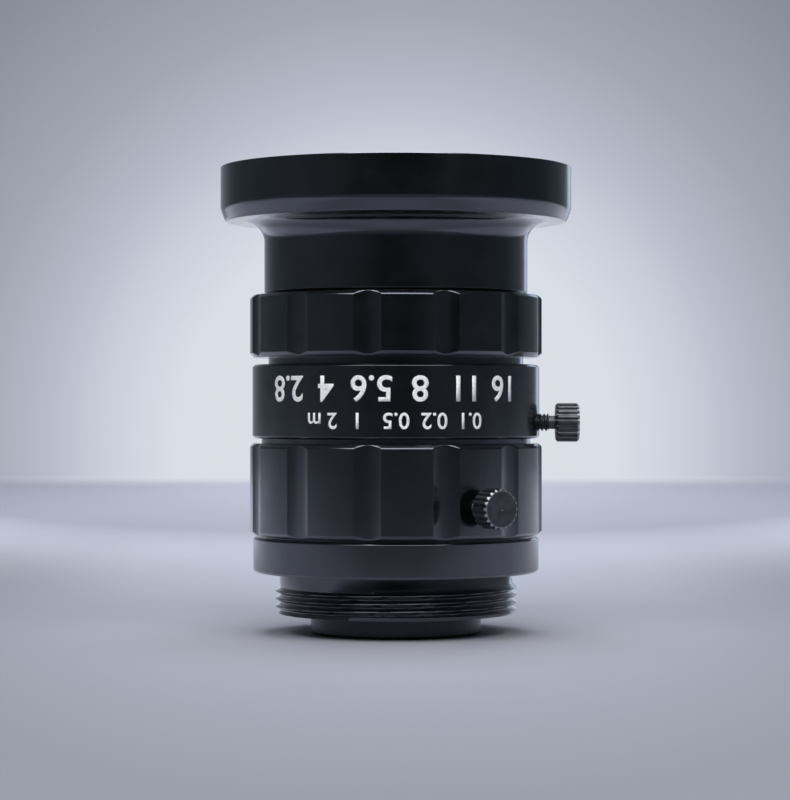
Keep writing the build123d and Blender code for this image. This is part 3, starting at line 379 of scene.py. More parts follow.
def grip_ring(name, node, low, high, bore, foot):
    """Fluted ring with a larger chamfer at its foot than at its top; foot lists its lower corners."""
    outline = soften(foot + [
        (GRIP_R - RING_FOOT_CHAMFER, low, EDGE_SOFT),
        (GRIP_R, low + RING_FOOT_CHAMFER, EDGE_SOFT),
        (GRIP_R, high - RING_TOP_CHAMFER, CROWN_SOFT),
        (GRIP_R - RING_TOP_CHAMFER, high, EDGE_SOFT),
        (bore, high, 0),
    ])
    outline = subdivided(outline, low + 0.01, low + RING_FOOT_CHAMFER + 0.05, CHAMFER_ROW)
    outline = subdivided(outline, high - RING_TOP_CHAMFER - 0.05, high - 0.01, CHAMFER_ROW)
    ride_for(turned(name, outline, fluted_angles(), flutes), node)


focus_low, focus_high = low_z("focus_ring"), high_z("focus_ring")
grip_ring("focus_ring_fluted", "focus_ring", focus_low, focus_high, HELICOID_BORE, [
    (HELICOID_BORE, COLLAR_STEP_Z, 0), (COLLAR_BORE, COLLAR_STEP_Z, 0), (COLLAR_BORE, focus_low, 0),
])
skirt_low, iris_high = low_z("iris_ring"), high_z("iris_ring")
iris_low = iris_high - IRIS_RING_HEIGHT
grip_ring("iris_ring_fluted", "iris_ring", iris_low, iris_high, SKIRT_BORE, [
    (SKIRT_BORE, skirt_low, 0), (SKIRT_R, skirt_low, 0), (SKIRT_R, iris_low, 0),
])

# %% [markdown]
# ## Main barrel
# The label band is the widest part of the sliding barrel. Below it a sleeve reaches into the focus
# ring, and above it a tube carries the iris ring. Only the band shows, but the whole section is
# turned as one piece, because the real one is.

# %% Main barrel
BAND_GAP, BAND_HEIGHT, BAND_FLOOR = 0.52, 7.68, 0.60
TUBE_R, TUBE_BORE, BAND_BORE = 12.50, 11.30, 13.45
GUIDE_R, SLEEVE_BORE, HELICOID_R = 11.00, 12.90, 14.12
SLEEVE_WALL, SLEEVE_LOW_Z = 1.22, 13.55
REAR_THREAD_BORE, GROUP_BORE, GROUP_APERTURE = 9.60, 8.00, 6.50
GROUP_LOW_Z, GROUP_SEAT_Z, SEAT_LIP = 8.65, 15.15, 0.80
IRIS_APERTURE = 4.60

guide_low, tube_top = low_z("main_barrel"), high_z("main_barrel")
band_low = focus_high + BAND_GAP
band_high = band_low + BAND_HEIGHT
floor_z = band_low + BAND_FLOOR
barrel_outline = soften([
    (REAR_THREAD_BORE, guide_low, 0),
    (GUIDE_R, guide_low, 0),
    (GUIDE_R, band_low - SLEEVE_WALL, 0),
    (SLEEVE_BORE, band_low - SLEEVE_WALL, 0),
    (SLEEVE_BORE, SLEEVE_LOW_Z, 0),
    (HELICOID_R, SLEEVE_LOW_Z, 0),
    (HELICOID_R, band_low, 0),
    (BAND_R - EDGE_CHAMFER, band_low, EDGE_SOFT),
    (BAND_R, band_low + EDGE_CHAMFER, EDGE_SOFT),
    (BAND_R, band_high - EDGE_CHAMFER, EDGE_SOFT),
    (BAND_R - EDGE_CHAMFER, band_high, EDGE_SOFT),
    (BAND_BORE, band_high, 0),
    (BAND_BORE, floor_z, 0),
    (TUBE_R, floor_z, 0),
    (TUBE_R, tube_top, 0),
    (TUBE_BORE, tube_top, 0),
    (TUBE_BORE, floor_z, 0),
    (IRIS_APERTURE, floor_z, 0),
    (GROUP_APERTURE, GROUP_SEAT_Z + SEAT_LIP, 0),
    (GROUP_APERTURE, GROUP_SEAT_Z, 0),
    (GROUP_BORE, GROUP_SEAT_Z, 0),
    (GROUP_BORE, GROUP_LOW_Z, 0),
    (REAR_THREAD_BORE, GROUP_LOW_Z, 0),
])
ride_for(turned("main_barrel_turned", barrel_outline, even_angles(300)), "main_barrel")

# %% [markdown]
# ## Front barrel
# The neck flows into the wide flange through a concave cove, which a round-nosed tool cuts in one
# sweep. The flange's foot is cut back at a steep angle, and a wide arc joins that cut to its wall.
# Inside, the front has the accessory thread, wound the same way as the mount thread but cut
# outwards into the wall, and below it the stepped seats of the two front lenses.

# %% Front barrel, outside
NECK_R, NECK_LENGTH = 13.83, 7.63
COVE_R, COVE_ROWS = 2.15, 15
FLANGE_FOOT_INSET, FLANGE_FOOT_HEIGHT, FLANGE_FOOT_SOFT = 0.50, 1.30, 1.6
RIM_CHAMFER = 0.06
FILTER_R, FILTER_DEPTH = 17.50, 2.08
FILTER_LEAD_IN, FILTER_ROW = 0.20, 0.04
THREAD_GAP = 0.02  # the front barrel is screwed onto the tube

flange_z = BARREL_FOOT_Z + NECK_LENGTH
filter_floor = FRONT_Z - FILTER_DEPTH
cove_angles = np.linspace(0, math.pi / 2, COVE_ROWS)
cove = np.stack([
    NECK_R + COVE_R * (1 - np.cos(cove_angles)),
    flange_z - COVE_R + COVE_R * np.sin(cove_angles),
], -1)
flange = soften([
    (NECK_R + COVE_R, flange_z, 0),
    (FLANGE_R - FLANGE_FOOT_INSET, flange_z, 0.25),
    (FLANGE_R, flange_z + FLANGE_FOOT_HEIGHT, FLANGE_FOOT_SOFT),
    (FLANGE_R, FRONT_Z - RIM_CHAMFER, 0.02),
    (FLANGE_R - RIM_CHAMFER, FRONT_Z, 0.02),
    (FILTER_R + FILTER_LEAD_IN, FRONT_Z, 0.04),
    (FILTER_R, FRONT_Z - FILTER_LEAD_IN, 0),
    (FILTER_R, filter_floor, 0),
], closed=False)
flange = subdivided(flange, filter_floor - 0.01, FRONT_Z - 0.10, FILTER_ROW)
neck = soften([
    (TUBE_R + THREAD_GAP, BARREL_FOOT_Z, 0),
    (NECK_R - EDGE_CHAMFER, BARREL_FOOT_Z, EDGE_SOFT),
    (NECK_R, BARREL_FOOT_Z + EDGE_CHAMFER, EDGE_SOFT),
    (NECK_R, flange_z - COVE_R, 0),
], closed=False)
print("flange from", round(flange_z, 2), "to", round(FRONT_Z, 2), "with", len(cove), "rows in the cove")

# %% Front barrel, inside
FILTER_PITCH, FILTER_CUT = 0.50, 0.24
PLAIN_FOOT, PLAIN_TOP = 0.30, 0.15  # wall without thread at the floor and at the rim
LENS_1_DEPTH, LENS_1_RIM = 1.90, 2.00
RING_1_BORE, LENS_1_BORE, LENS_1_APERTURE = 15.02, 14.22, 13.20
RING_2_BORE, LENS_2_BORE, LENS_2_APERTURE = 10.92, 10.42, 9.40
RING_2_TOP_Z, RING_2_LOW_Z, LENS_2_SEAT_Z = 39.55, 38.25, 36.75
RING_SINK = 0.30  # how far a lock ring's seat goes below the rim of its lens

lens_1_top = filter_floor - LENS_1_DEPTH
lens_1_seat = lens_1_top - LENS_1_RIM
seats = np.array([
    (RING_1_BORE, filter_floor),
    (RING_1_BORE, lens_1_top - RING_SINK),
    (LENS_1_BORE, lens_1_top - RING_SINK),
    (LENS_1_BORE, lens_1_seat),
    (LENS_1_APERTURE, lens_1_seat),
    (RING_2_BORE, RING_2_TOP_Z),
    (RING_2_BORE, RING_2_LOW_Z),
    (LENS_2_BORE, RING_2_LOW_Z),
    (LENS_2_BORE, LENS_2_SEAT_Z),
    (LENS_2_APERTURE, LENS_2_SEAT_Z),
    (LENS_2_APERTURE, tube_top),
    (TUBE_R + THREAD_GAP, tube_top),
])


def filter_thread(r, z, a):
    """Cut the accessory thread outwards into the flange's inner wall."""
    along = (z > filter_floor + PLAIN_FOOT) & (z < FRONT_Z - PLAIN_TOP)
    depth = FILTER_CUT - thread_cut(z, a, FILTER_PITCH, FILTER_CUT, THREAD_FLAT)
    return np.where(along & (np.abs(r - FILTER_R) < 0.01), r + depth, r), z


front_outline = np.concatenate([flange, seats, neck, cove[1:-1]])
front_barrel = turned("front_barrel_turned", front_outline, even_angles(360), filter_thread)
ride_for(front_barrel, "front_barrel")

# %% [markdown]
# ## Rear cell and lock rings
# The lens stands on the rear cell, a stepped tube with the last lens in it. Screwed rings with two
# spanner slots hold the glass in its seats. A slot needs no cut: the ring's top rows are lowered
# where a point lies inside the slot's width.

# %% Rear cell
CELL_R, CELL_THREAD_R, CELL_BORE = 8.93, 9.58, 7.92
CELL_FLANGE_R, CELL_FLANGE_LOW_Z, CELL_FLANGE_HIGH_Z = 10.60, 5.20, 5.55
LENS_7_BORE, LENS_7_LOW_Z, LENS_7_RING_Z = 7.42, -1.25, 1.25
MOUTH_R, REAR_APERTURE = 7.00, 6.40

cell_top = high_z("rear_cell")
rear_outline = soften([
    (MOUTH_R, REAR_Z, 0.05),
    (CELL_R - EDGE_CHAMFER, REAR_Z, EDGE_SOFT),
    (CELL_R, REAR_Z + EDGE_CHAMFER, EDGE_SOFT),
    (CELL_R, CELL_FLANGE_LOW_Z, 0),
    (CELL_FLANGE_R, CELL_FLANGE_LOW_Z, 0),
    (CELL_FLANGE_R, CELL_FLANGE_HIGH_Z, 0),
    (CELL_THREAD_R, CELL_FLANGE_HIGH_Z, 0),
    (CELL_THREAD_R, cell_top, 0),
    (CELL_BORE, cell_top, 0),
    (CELL_BORE, LENS_7_RING_Z, 0),
    (LENS_7_BORE, LENS_7_RING_Z, 0),
    (LENS_7_BORE, LENS_7_LOW_Z, 0),
    (REAR_APERTURE, LENS_7_LOW_Z, 0.04),
    (REAR_APERTURE, REAR_Z + MOUTH_R - REAR_APERTURE, 0.04),
])
ride_for(turned("rear_cell_turned", rear_outline, even_angles(240)), "rear_cell")

# %% Lock rings that show through the front and the rear glass
SLOT_WIDTH = 1.20
SLOT_DEPTH = 0.50
RING_CHAMFER = 0.12


def lock_ring(node, bore):
    """Screwed ring with a small chamfer and two spanner slots across its top."""
    low, high, outer = low_z(node), high_z(node), outer_radius(node)
    outline = soften([
        (bore, low, 0),
        (outer, low, 0),
        (outer, high - RING_CHAMFER, 0.03),
        (outer - RING_CHAMFER, high, 0.03),
        (bore + 2 * RING_CHAMFER, high, 0.03),
        (bore, high - RING_CHAMFER, 0.03),
    ])
    side = math.asin(SLOT_WIDTH / 2 / outer)
    edge = side * np.array([-1.02, -0.98])
    floor = side * np.linspace(-0.9, 0.9, 5)
    land = np.linspace(1.1 * side, math.pi - 1.1 * side, 70)
    half_turn = np.concatenate([edge, floor, -edge[::-1], land])

    def slots(r, z, a):
        in_slot = np.abs(r * np.sin(a)) < SLOT_WIDTH / 2
        return r, np.where(in_slot, np.minimum(z, high - SLOT_DEPTH), z)

    angles = np.concatenate([half_turn, half_turn + math.pi])
    ride_for(turned(node + "_slotted", outline, angles, slots, sharp_deg=35), node)


lock_ring("front_lock_ring", bore=13.60)
lock_ring("second_lock_ring", bore=9.80)
lock_ring("rear_lock_ring", bore=6.80)

# %% [markdown]
# ## Thumbscrews
# Each ring is locked by a small knurled screw. Its head is a disc whose radius drops in twenty
# straight grooves, so the smaller of the turned radius and a trapezoid wave of the angle is left,
# and the chamfers cut the teeth to points as a lathe does. The shank has a fine thread. The screw
# is made upright and then laid along its radial axis. Fingers wear the rim of the outer face to bare
# steel, and its lighter colour there is also a painted highlight, so each vertex says in an attribute
# whether it lies on that rim, and the finish reads that attribute.

# %% Knurl, and the rim's wear and painted highlight
KNURLS = 20
KNURL_DEPTH = 0.22
KNURL_TOP, KNURL_ROOT = 0.16, 0.36  # where a tooth's flank starts and ends, as shares of the pitch
HEAD_R, HEAD_CHAMFER = 2.03, 0.20
HEAD_LOW, HEAD_HIGH = 16.80, 19.24


def knurl(r, a):
    """Radius left by the knurl: a wave of tooth tops and groove floors with sloping flanks."""
    turn = (a * KNURLS / (2 * math.pi)) % 1.0
    from_top = np.abs((turn + 0.5) % 1.0 - 0.5)
    slope = np.clip((from_top - KNURL_TOP) / (KNURL_ROOT - KNURL_TOP), 0, 1)
    slope = 0.5 * slope * slope * (3 - 2 * slope) + 0.5 * slope
    return np.minimum(r, HEAD_R - KNURL_DEPTH * slope)


def mark_wear_and_painted_highlight(piece, outward, z):
    """Write the rim attribute: 1 on the chamfer round the outer face of the head, else 0. There the
    finish shows worn steel with a painted highlight.
    """
    points = np.empty(len(piece.data.vertices) * 3)
    piece.data.vertices.foreach_get("co", points)
    points = points.reshape(-1, 3) / MM
    along = points @ outward
    off_axis = np.linalg.norm(points - along[:, None] * outward - np.array([0, 0, z]), axis=1)
    at_face = along > HEAD_HIGH - HEAD_CHAMFER - 0.02
    at_rim = off_axis > HEAD_R - HEAD_CHAMFER - 0.03
    layer = piece.data.attributes.new("rubbed", "FLOAT", "POINT")
    layer.data.foreach_set("value", (at_face & at_rim).astype(np.float32))


# %% Thumbscrews
DOG_R, DOG_LENGTH = 0.60, 0.90
SCREW_R, SCREW_PITCH, SCREW_CUT, SCREW_FLAT = 0.92, 0.40, 0.22, 0.12
SCREW_START = 1.22  # from the tip to the full thread
NECK_SCREW_R, NECK_START = 0.70, 16.04
MARK_R, MARK_DEPTH = 0.16, 0.05  # centre mark that the lathe leaves in the face
SCREW_ROW, HEAD_ROW, TOOTH_COLUMNS = 0.033, 0.04, 12
OFF_FACE = 0.001  # keeps the flat faces of the head out of its extra rows


def thumbscrew(node, angle_deg, z, tip):
    """Knurled screw laid along the radius at an angle, with its tip at a distance from the axis."""
    rim = HEAD_R - HEAD_CHAMFER
    outline = soften([
        (0, tip, 0),
        (DOG_R, tip, 0.05),
        (DOG_R, tip + DOG_LENGTH, 0),
        (SCREW_R, tip + SCREW_START, 0),
        (SCREW_R, NECK_START, 0.04),
        (NECK_SCREW_R, NECK_START, 0.03),
        (NECK_SCREW_R, HEAD_LOW, 0.08),
        (rim, HEAD_LOW, 0.04),
        (HEAD_R, HEAD_LOW + HEAD_CHAMFER, 0.04),
        (HEAD_R, HEAD_HIGH - HEAD_CHAMFER, 0.04),
        (rim, HEAD_HIGH, 0.03),
        (rim - 0.08, HEAD_HIGH, 0),
        (MARK_R, HEAD_HIGH, 0.02),
        (MARK_R - 0.06, HEAD_HIGH - MARK_DEPTH, 0.02),
        (0, HEAD_HIGH - MARK_DEPTH, 0),
    ], closed=False)
    outline = subdivided(outline, tip + SCREW_START, NECK_START, SCREW_ROW)
    outline = subdivided(outline, HEAD_LOW + OFF_FACE, HEAD_LOW + HEAD_CHAMFER, HEAD_ROW)
    outline = subdivided(outline, HEAD_HIGH - HEAD_CHAMFER, HEAD_HIGH - OFF_FACE, HEAD_ROW)

    def shape(r, h, a):
        in_head = (h > HEAD_LOW + 0.01) & (h < HEAD_HIGH - 0.002)
        in_thread = (h > tip + 1.15) & (h < NECK_START - 0.01) & (r > 0.75)
        screwed = SCREW_R - thread_cut(h, a, SCREW_PITCH, SCREW_CUT, SCREW_FLAT)
        r = np.where(in_head, knurl(r, a), r)
        return np.where(in_thread, np.minimum(r, screwed), r), h

    angle = math.radians(angle_deg)
    outward, upward = np.array([math.cos(angle), math.sin(angle), 0]), np.array([0, 0, 1])
    place = np.eye(4)
    place[:3, :3] = np.column_stack([upward, np.cross(outward, upward), outward])
    place[2, 3] = z
    angles = even_angles(KNURLS * TOOTH_COLUMNS)
    made = turned(node + "_knurled", outline, angles, shape, place, sharp_deg=40)
    mark_wear_and_painted_highlight(made, outward, z)
    ride_for(made, node)


def screw_seat(joint):
    """Angle round the lens in degrees and height of a screw, from its joint."""
    found = next(j for j in frame["joints"] if j["name"] == joint)
    return math.degrees(math.atan2(found["axis"][1], found["axis"][0])), found["pos_m"][2] / MM


thumbscrew("focus_lock_screw", *screw_seat("focus_lock_screw_turn"), tip=12.95)
thumbscrew("iris_lock_screw", *screw_seat("iris_lock_screw_turn"), tip=13.40)

# %% [markdown]
# ## Glass
# Each lens is ground to spheres and has a flat rim. A sphere's height over its rim is the curve's
# radius minus the square root of radius squared less the distance from the axis squared, so each
# face is one array. Smooth glass shows every facet, so the faces get many rows.

# %% Lens surfaces
GLASS_CHAMFER = 0.06


def sphere_cap(curve, clear, rim_z, facing, rows=22):
    """Points from the axis to the clear radius; curve > 0 bulges out, curve < 0 is hollow."""
    r = np.linspace(0, clear, rows)
    rise = math.copysign(1, curve) * (np.sqrt(curve**2 - r**2) - math.sqrt(curve**2 - clear**2))
    return np.stack([r, rim_z + facing * rise], -1)


def hollow(curve, depth):
    """A hollow face by its depth: it meets the flat at the root of c^2 less (c - depth)^2."""
    return -curve, math.sqrt(curve**2 - (curve - depth) ** 2)


def glass_lens(node, rim_low, rim_high, front, rear):
    """Lens between two rim heights, with (curve, clear radius) for its front and rear."""
    radius, edge = outer_radius(node), GLASS_CHAMFER
    top = sphere_cap(*front, rim_high, 1)
    bottom = sphere_cap(*rear, rim_low, -1)
    rim = [
        (radius - edge, rim_low), (radius, rim_low + edge),
        (radius, rim_high - edge), (radius - edge, rim_high),
    ]
    outline = np.concatenate([bottom, rim, top[::-1]])
    ride_for(turned(node + "_ground", outline, even_angles(160), sharp_deg=20), node)


# %% Seven elements
LENS_1_CENTRE, LENS_2_CENTRE = 1.24, 0.94  # thickness on the axis
lens_3_top, lens_4_top = high_z("lens_3"), low_z("lens_spacer")
lens_1_hollow = hollow(16.0, high_z("lens_1") - LENS_1_CENTRE - lens_1_seat)
lens_2_hollow = hollow(12.0, high_z("lens_2") - LENS_2_CENTRE - LENS_2_SEAT_Z)
glass_lens("lens_1", lens_1_seat, lens_1_top, (48.0, 13.4), lens_1_hollow)
glass_lens("lens_2", LENS_2_SEAT_Z, LENS_2_SEAT_Z + 1.8, (32.0, 9.6), lens_2_hollow)
glass_lens("lens_3", lens_3_top - 1.4, lens_3_top, (-22.0, 7.0), (25.0, 7.0))
glass_lens("lens_4", lens_4_top - 3.0, lens_4_top, (18.0, 6.6), (40.0, 6.6))
glass_lens("lens_5", 12.65, GROUP_SEAT_Z, (20.0, 6.4), (14.0, 7.0))
glass_lens("lens_6", 9.65, 12.63, (-14.0, 7.0), (30.0, 6.78))
glass_lens("lens_7", LENS_7_LOW_Z, 1.55, (18.0, 6.2), (30.0, 6.2))

# %% [markdown]
# ## Dial print
# The band carries white print. Here it is a plain dial: aperture numbers with a smaller row of
# distances, upside down for someone who looks at a lens that stands on its mount. Each number is a
# flat letter shape, cut into narrow strips and bent round the band: x along the print becomes an
# angle, x divided by the radius. A picture of the print would do from afar, but real ink has a sharp
# edge and a thickness, and a mesh keeps both from close up.

# %% Bend a flat letter shape round the band
PRINT_LIFT = 0.02
PRINT_THICKNESS = 0.012
FIGURE_HEIGHT = 0.70  # height of a numeral as a share of the font's size
STRIP = 0.25


def flat_letters(name, words, height, bold):
    """Mesh of the words, centred, one sheet at z = 0 and a copy at z = 1 joined by walls."""
    curve = bpy.data.curves.new(name, "FONT")
    curve.body = words
    curve.align_x, curve.align_y = "CENTER", "CENTER"
    curve.size = height / FIGURE_HEIGHT
    curve.resolution_u = 6
    curve.offset = bold
    text = add_object(name, curve)
    bpy.context.view_layer.update()
    mesh = bpy.data.meshes.new_from_object(text)
    bpy.data.objects.remove(text)
    work = bmesh.new()
    work.from_mesh(mesh)
    low = min(v.co.x for v in work.verts)
    high = max(v.co.x for v in work.verts)
    for k in range(1, math.ceil((high - low) / STRIP)):
        geometry = work.verts[:] + work.edges[:] + work.faces[:]
        cut_at = (low + k * STRIP, 0, 0)
        bmesh.ops.bisect_plane(work, geom=geometry, plane_co=cut_at, plane_no=(1, 0, 0))
    shell = bmesh.ops.extrude_face_region(work, geom=work.faces[:])
    raised = [g for g in shell["geom"] if isinstance(g, bmesh.types.BMVert)]
    bmesh.ops.translate(work, verts=raised, vec=(0, 0, 1))
    work.normal_update()
    work.to_mesh(mesh)
    work.free()
    return mesh


def bent_print(name, words, x, z, height, bold):
    """Words centred at x and z of the unrolled band, turned half round and bent onto it."""
    mesh = flat_letters(name, words, height, bold)
    flat = np.empty(len(mesh.vertices) * 3)
    mesh.vertices.foreach_get("co", flat)
    flat = flat.reshape(-1, 3)
    radius = BAND_R + PRINT_LIFT - PRINT_THICKNESS * (flat[:, 2] < 0.5)
    angle = (x - flat[:, 0]) / BAND_R - math.pi / 2
    bent = np.stack([radius * np.cos(angle), radius * np.sin(angle), z - flat[:, 1]], -1) * MM
    mesh.vertices.foreach_set("co", bent.ravel())
    mesh.update()
    made = add_object(name, mesh)
    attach(made, "barrel")


# %% Two rows of numbers
APERTURES = ["16", "11", "8", "5.6", "4", "2.8"]
DISTANCES = ["0.1", "0.2", "0.5", "1", "2 m"]


def print_row(name, row, spacing, z, height, bold):
    """Numbers spaced evenly about the middle of the band, the first one at the viewer's right."""
    for k, words in enumerate(row):
        spot = ((len(row) - 1) / 2 - k) * spacing
        bent_print(f"{name}_{k}", words, spot, z, height, bold)
    print(name, len(row), "pieces")


print_row("dial_print", APERTURES, spacing=4.9, z=band_low + 5.28, height=2.55, bold=0.05)
print_row("scale_print", DISTANCES, spacing=3.9, z=band_low + 1.98, height=1.60, bold=0.03)

# %% [markdown]
# ## Materials
# A finish is a small tree of nodes. One function adds any node with its settings, its links and,
# for a colour ramp, its stops. Colours are written as sRGB hex and turned to linear once. Every
# pattern reads Object coordinates, whose unit is the metre, so a pattern's scale is one over its
# real size in metres. An image could give the same patterns, but it would need a flat layout.


# %% Material helpers
def linear(hex_colour):
    """sRGB hex to linear RGBA: the standard curve, x / 12.92 or ((x + 0.055) / 1.055) ** 2.4."""
    parts = [int(hex_colour[i:i + 2], 16) / 255 for i in (1, 3, 5)]
    return [p / 12.92 if p <= 0.04045 else ((p + 0.055) / 1.055) ** 2.4 for p in parts] + [1.0]


def add_node(tree, kind, settings=(), inputs=(), links=(), stops=()):
    """New node of a kind, which is its type without the ShaderNode in front.

    settings are its attributes, inputs the values of its sockets, links the sockets that it reads,
    and stops the (position, hex) stops of a colour ramp.
    """
    node = tree.nodes.new("ShaderNode" + kind)
    for key, value in dict(settings).items():
        setattr(node, key, value)
    for key, value in dict(inputs).items():
        node.inputs[key].default_value = value
    for key, socket in dict(links).items():
        tree.links.new(socket, node.inputs[key])
    if stops:
        ramp = node.color_ramp.elements
        while len(ramp) < len(stops):
            ramp.new(0.5)
        for element, (position, colour) in zip(ramp, stops):
            element.position = position
            element.color = linear(colour)
    return node


def new_material(name):
    """Empty material with its node tree, its shader and the Object coordinates."""
    made = bpy.data.materials.new(name)
    made.use_nodes = True
    tree = made.node_tree
    tree.nodes.clear()
    shader = add_node(tree, "BsdfPrincipled")
    add_node(tree, "OutputMaterial", links={"Surface": shader.outputs["BSDF"]})
    place = add_node(tree, "TexCoord").outputs["Object"]
    print("material", name)
    return made, tree, shader, place


def set_sockets(shader, values):
    """Set uniform values on the shader's own sockets."""
    for key, value in values.items():
        shader.inputs[key].default_value = value


def per_mm(size_mm):
    """Texture scale for cells of a real size: one over that size in metres."""
    return 1 / (size_mm * MM)


# %% [markdown]
# Anodised aluminium: the metal is bead blasted, dipped in acid so that a clear oxide grows out of
# it, dyed black and sealed. The dye gives a deep neutral black with a faint blue, the oxide gives a
# soft glassy sheen that turns bright at grazing angles, and the tool's turning marks stay as very
# fine rings round the axis. The seal is a second, smoother layer, so it is the shader's coat. The
# marks and the grain are finer on a real lens, and are drawn 0.1 to 0.2 mm wide so that they show.

# %% Black anodised aluminium
MOTTLE_MM, RING_MM = 2.5, 0.12  # size of the patches of dye and spacing of the turning marks
RING_SHARE = 0.35  # height of the turning marks against that of the grain
SKIN_BUMP = 0.02 * MM


def anodised(name, dark, light, roughness, grain_mm=0.10, seal=1.0, index=1.76):
    """Dyed oxide over blasted, turned metal: mottled black, ring marks and a blasted grain."""
    made, tree, shader, place = new_material(name)
    mottle = add_node(
        tree, "TexNoise", inputs={"Scale": per_mm(MOTTLE_MM), "Detail": 3.0}, links={"Vector": place},
    ).outputs["Fac"]
    tone = add_node(
        tree, "ValToRGB", links={"Fac": mottle}, stops=[(0.35, dark), (0.70, light)],
    ).outputs["Color"]
    height = add_node(tree, "SeparateXYZ", links={"Vector": place}).outputs["Z"]
    along = add_node(tree, "CombineXYZ", links={"Z": height}).outputs["Vector"]
    rings = add_node(
        tree, "TexNoise", inputs={"Scale": per_mm(RING_MM), "Detail": 2.0}, links={"Vector": along},
    ).outputs["Fac"]
    grain = add_node(
        tree, "TexNoise", inputs={"Scale": per_mm(grain_mm), "Detail": 2.0}, links={"Vector": place},
    ).outputs["Fac"]
    both = add_node(
        tree, "Math", {"operation": "MULTIPLY_ADD"}, {1: RING_SHARE}, {0: rings, 2: grain},
    ).outputs["Value"]
    bump = add_node(
        tree, "Bump", inputs={"Strength": 0.10, "Distance": SKIN_BUMP}, links={"Height": both},
    ).outputs["Normal"]
    rough = add_node(tree, "MapRange", inputs={
        "From Min": 0.3, "From Max": 0.7, "To Min": roughness - 0.03, "To Max": roughness + 0.05,
    }, links={"Value": mottle}).outputs["Result"]
    tree.links.new(tone, shader.inputs["Base Color"])
    tree.links.new(bump, shader.inputs["Normal"])
    tree.links.new(rough, shader.inputs["Roughness"])
    set_sockets(shader, {
        "IOR": index, "Specular Tint": linear("#dbe5ff"),
        "Coat Weight": seal, "Coat Roughness": 0.14, "Coat IOR": 1.55,
    })
    return made


body_finish = anodised("black_anodised_aluminium", "#040606", "#060909", 0.18)
label_finish = anodised("label_band_anodised_aluminium", "#040506", "#060808", 0.18)
cell_finish = anodised(
    "satin_black_anodised_aluminium", "#040506", "#060808", 0.30, seal=0.2, index=1.50,
)
inner_finish = anodised(
    "matte_black_anodised_aluminium", "#060707", "#0a0b0b", 0.60, grain_mm=0.2, seal=0.0,
)

# %% [markdown]
# Blackened steel: the thumbscrews are turned and knurled steel, blackened in hot salt. The coat is
# only a micron thick, so the metal still shines through it as dark grey. Where the rim attribute is
# 1, the coat is worn off and the colour mixes to the bare metal's, which is lighter also as a painted
# highlight.


# %% Steel
def blackened_steel(name, dark, light, roughness, edge=None):
    """Thin black oxide on steel: a dark metal, worn in patches. With a rim colour it is lighter on the
    rim, where it is worn bare and carries a painted highlight.
    """
    made, tree, shader, place = new_material(name)
    wear = add_node(
        tree, "TexNoise", inputs={"Scale": per_mm(0.8), "Detail": 4.0}, links={"Vector": place},
    ).outputs["Fac"]
    tone = add_node(
        tree, "ValToRGB", links={"Fac": wear}, stops=[(0.35, dark), (0.75, light)],
    ).outputs["Color"]
    # The rim attribute mixes in a lighter colour: steel worn bare, and a painted highlight.
    if edge is not None:
        rubbed = add_node(tree, "Attribute", {"attribute_name": "rubbed"}).outputs["Fac"]
        tone = add_node(
            tree, "Mix", {"data_type": "RGBA"}, {7: linear(edge)}, {0: rubbed, 6: tone},
        ).outputs[2]
    fine = add_node(
        tree, "TexNoise", inputs={"Scale": per_mm(0.06), "Detail": 1.0}, links={"Vector": place},
    ).outputs["Fac"]
    bump = add_node(
        tree, "Bump", inputs={"Strength": 0.08, "Distance": SKIN_BUMP}, links={"Height": fine},
    ).outputs["Normal"]
    tree.links.new(tone, shader.inputs["Base Color"])
    tree.links.new(bump, shader.inputs["Normal"])
    set_sockets(shader, {"Metallic": 1.0, "Roughness": roughness})
    return made


# The last colour is the rim's: worn bare steel, lighter also as a painted highlight.
screw_finish = blackened_steel("blackened_steel", "#53555a", "#65676c", 0.44, "#9c9fa4")
pin_finish = blackened_steel("ground_steel", "#8c8f92", "#a5a8ab", 0.28)
blade_finish = blackened_steel("blackened_spring_steel", "#161718", "#202122", 0.50)

# %% [markdown]
# Screen print: an opaque enamel ink pressed through a mesh. It dries matte, and its density varies
# a little from spot to spot, so a fine noise mixes two near whites.


# %% Print ink
def screen_print(name, colour, shade):
    """Screen-printed enamel ink: opaque and slightly uneven in density."""
    made, tree, shader, place = new_material(name)
    density = add_node(
        tree, "TexNoise", inputs={"Scale": per_mm(0.25), "Detail": 2.0}, links={"Vector": place},
    ).outputs["Fac"]
    tone = add_node(
        tree, "ValToRGB", links={"Fac": density}, stops=[(0.30, shade), (0.55, colour)],
    ).outputs["Color"]
    tree.links.new(tone, shader.inputs["Base Color"])
    set_sockets(shader, {"Roughness": 0.55})
    return made


ink_finish = screen_print("white_screen_print", "#ffffff", "#e4e6e8")

# %% [markdown]
# Optical glass: polished, with an anti-reflection coat that is a quarter of a wave thick. What is
# left of the reflection looks green or violet, which the shader's thin film layer works out.

# %% Coated glass
FILM_INDEX = 1.38


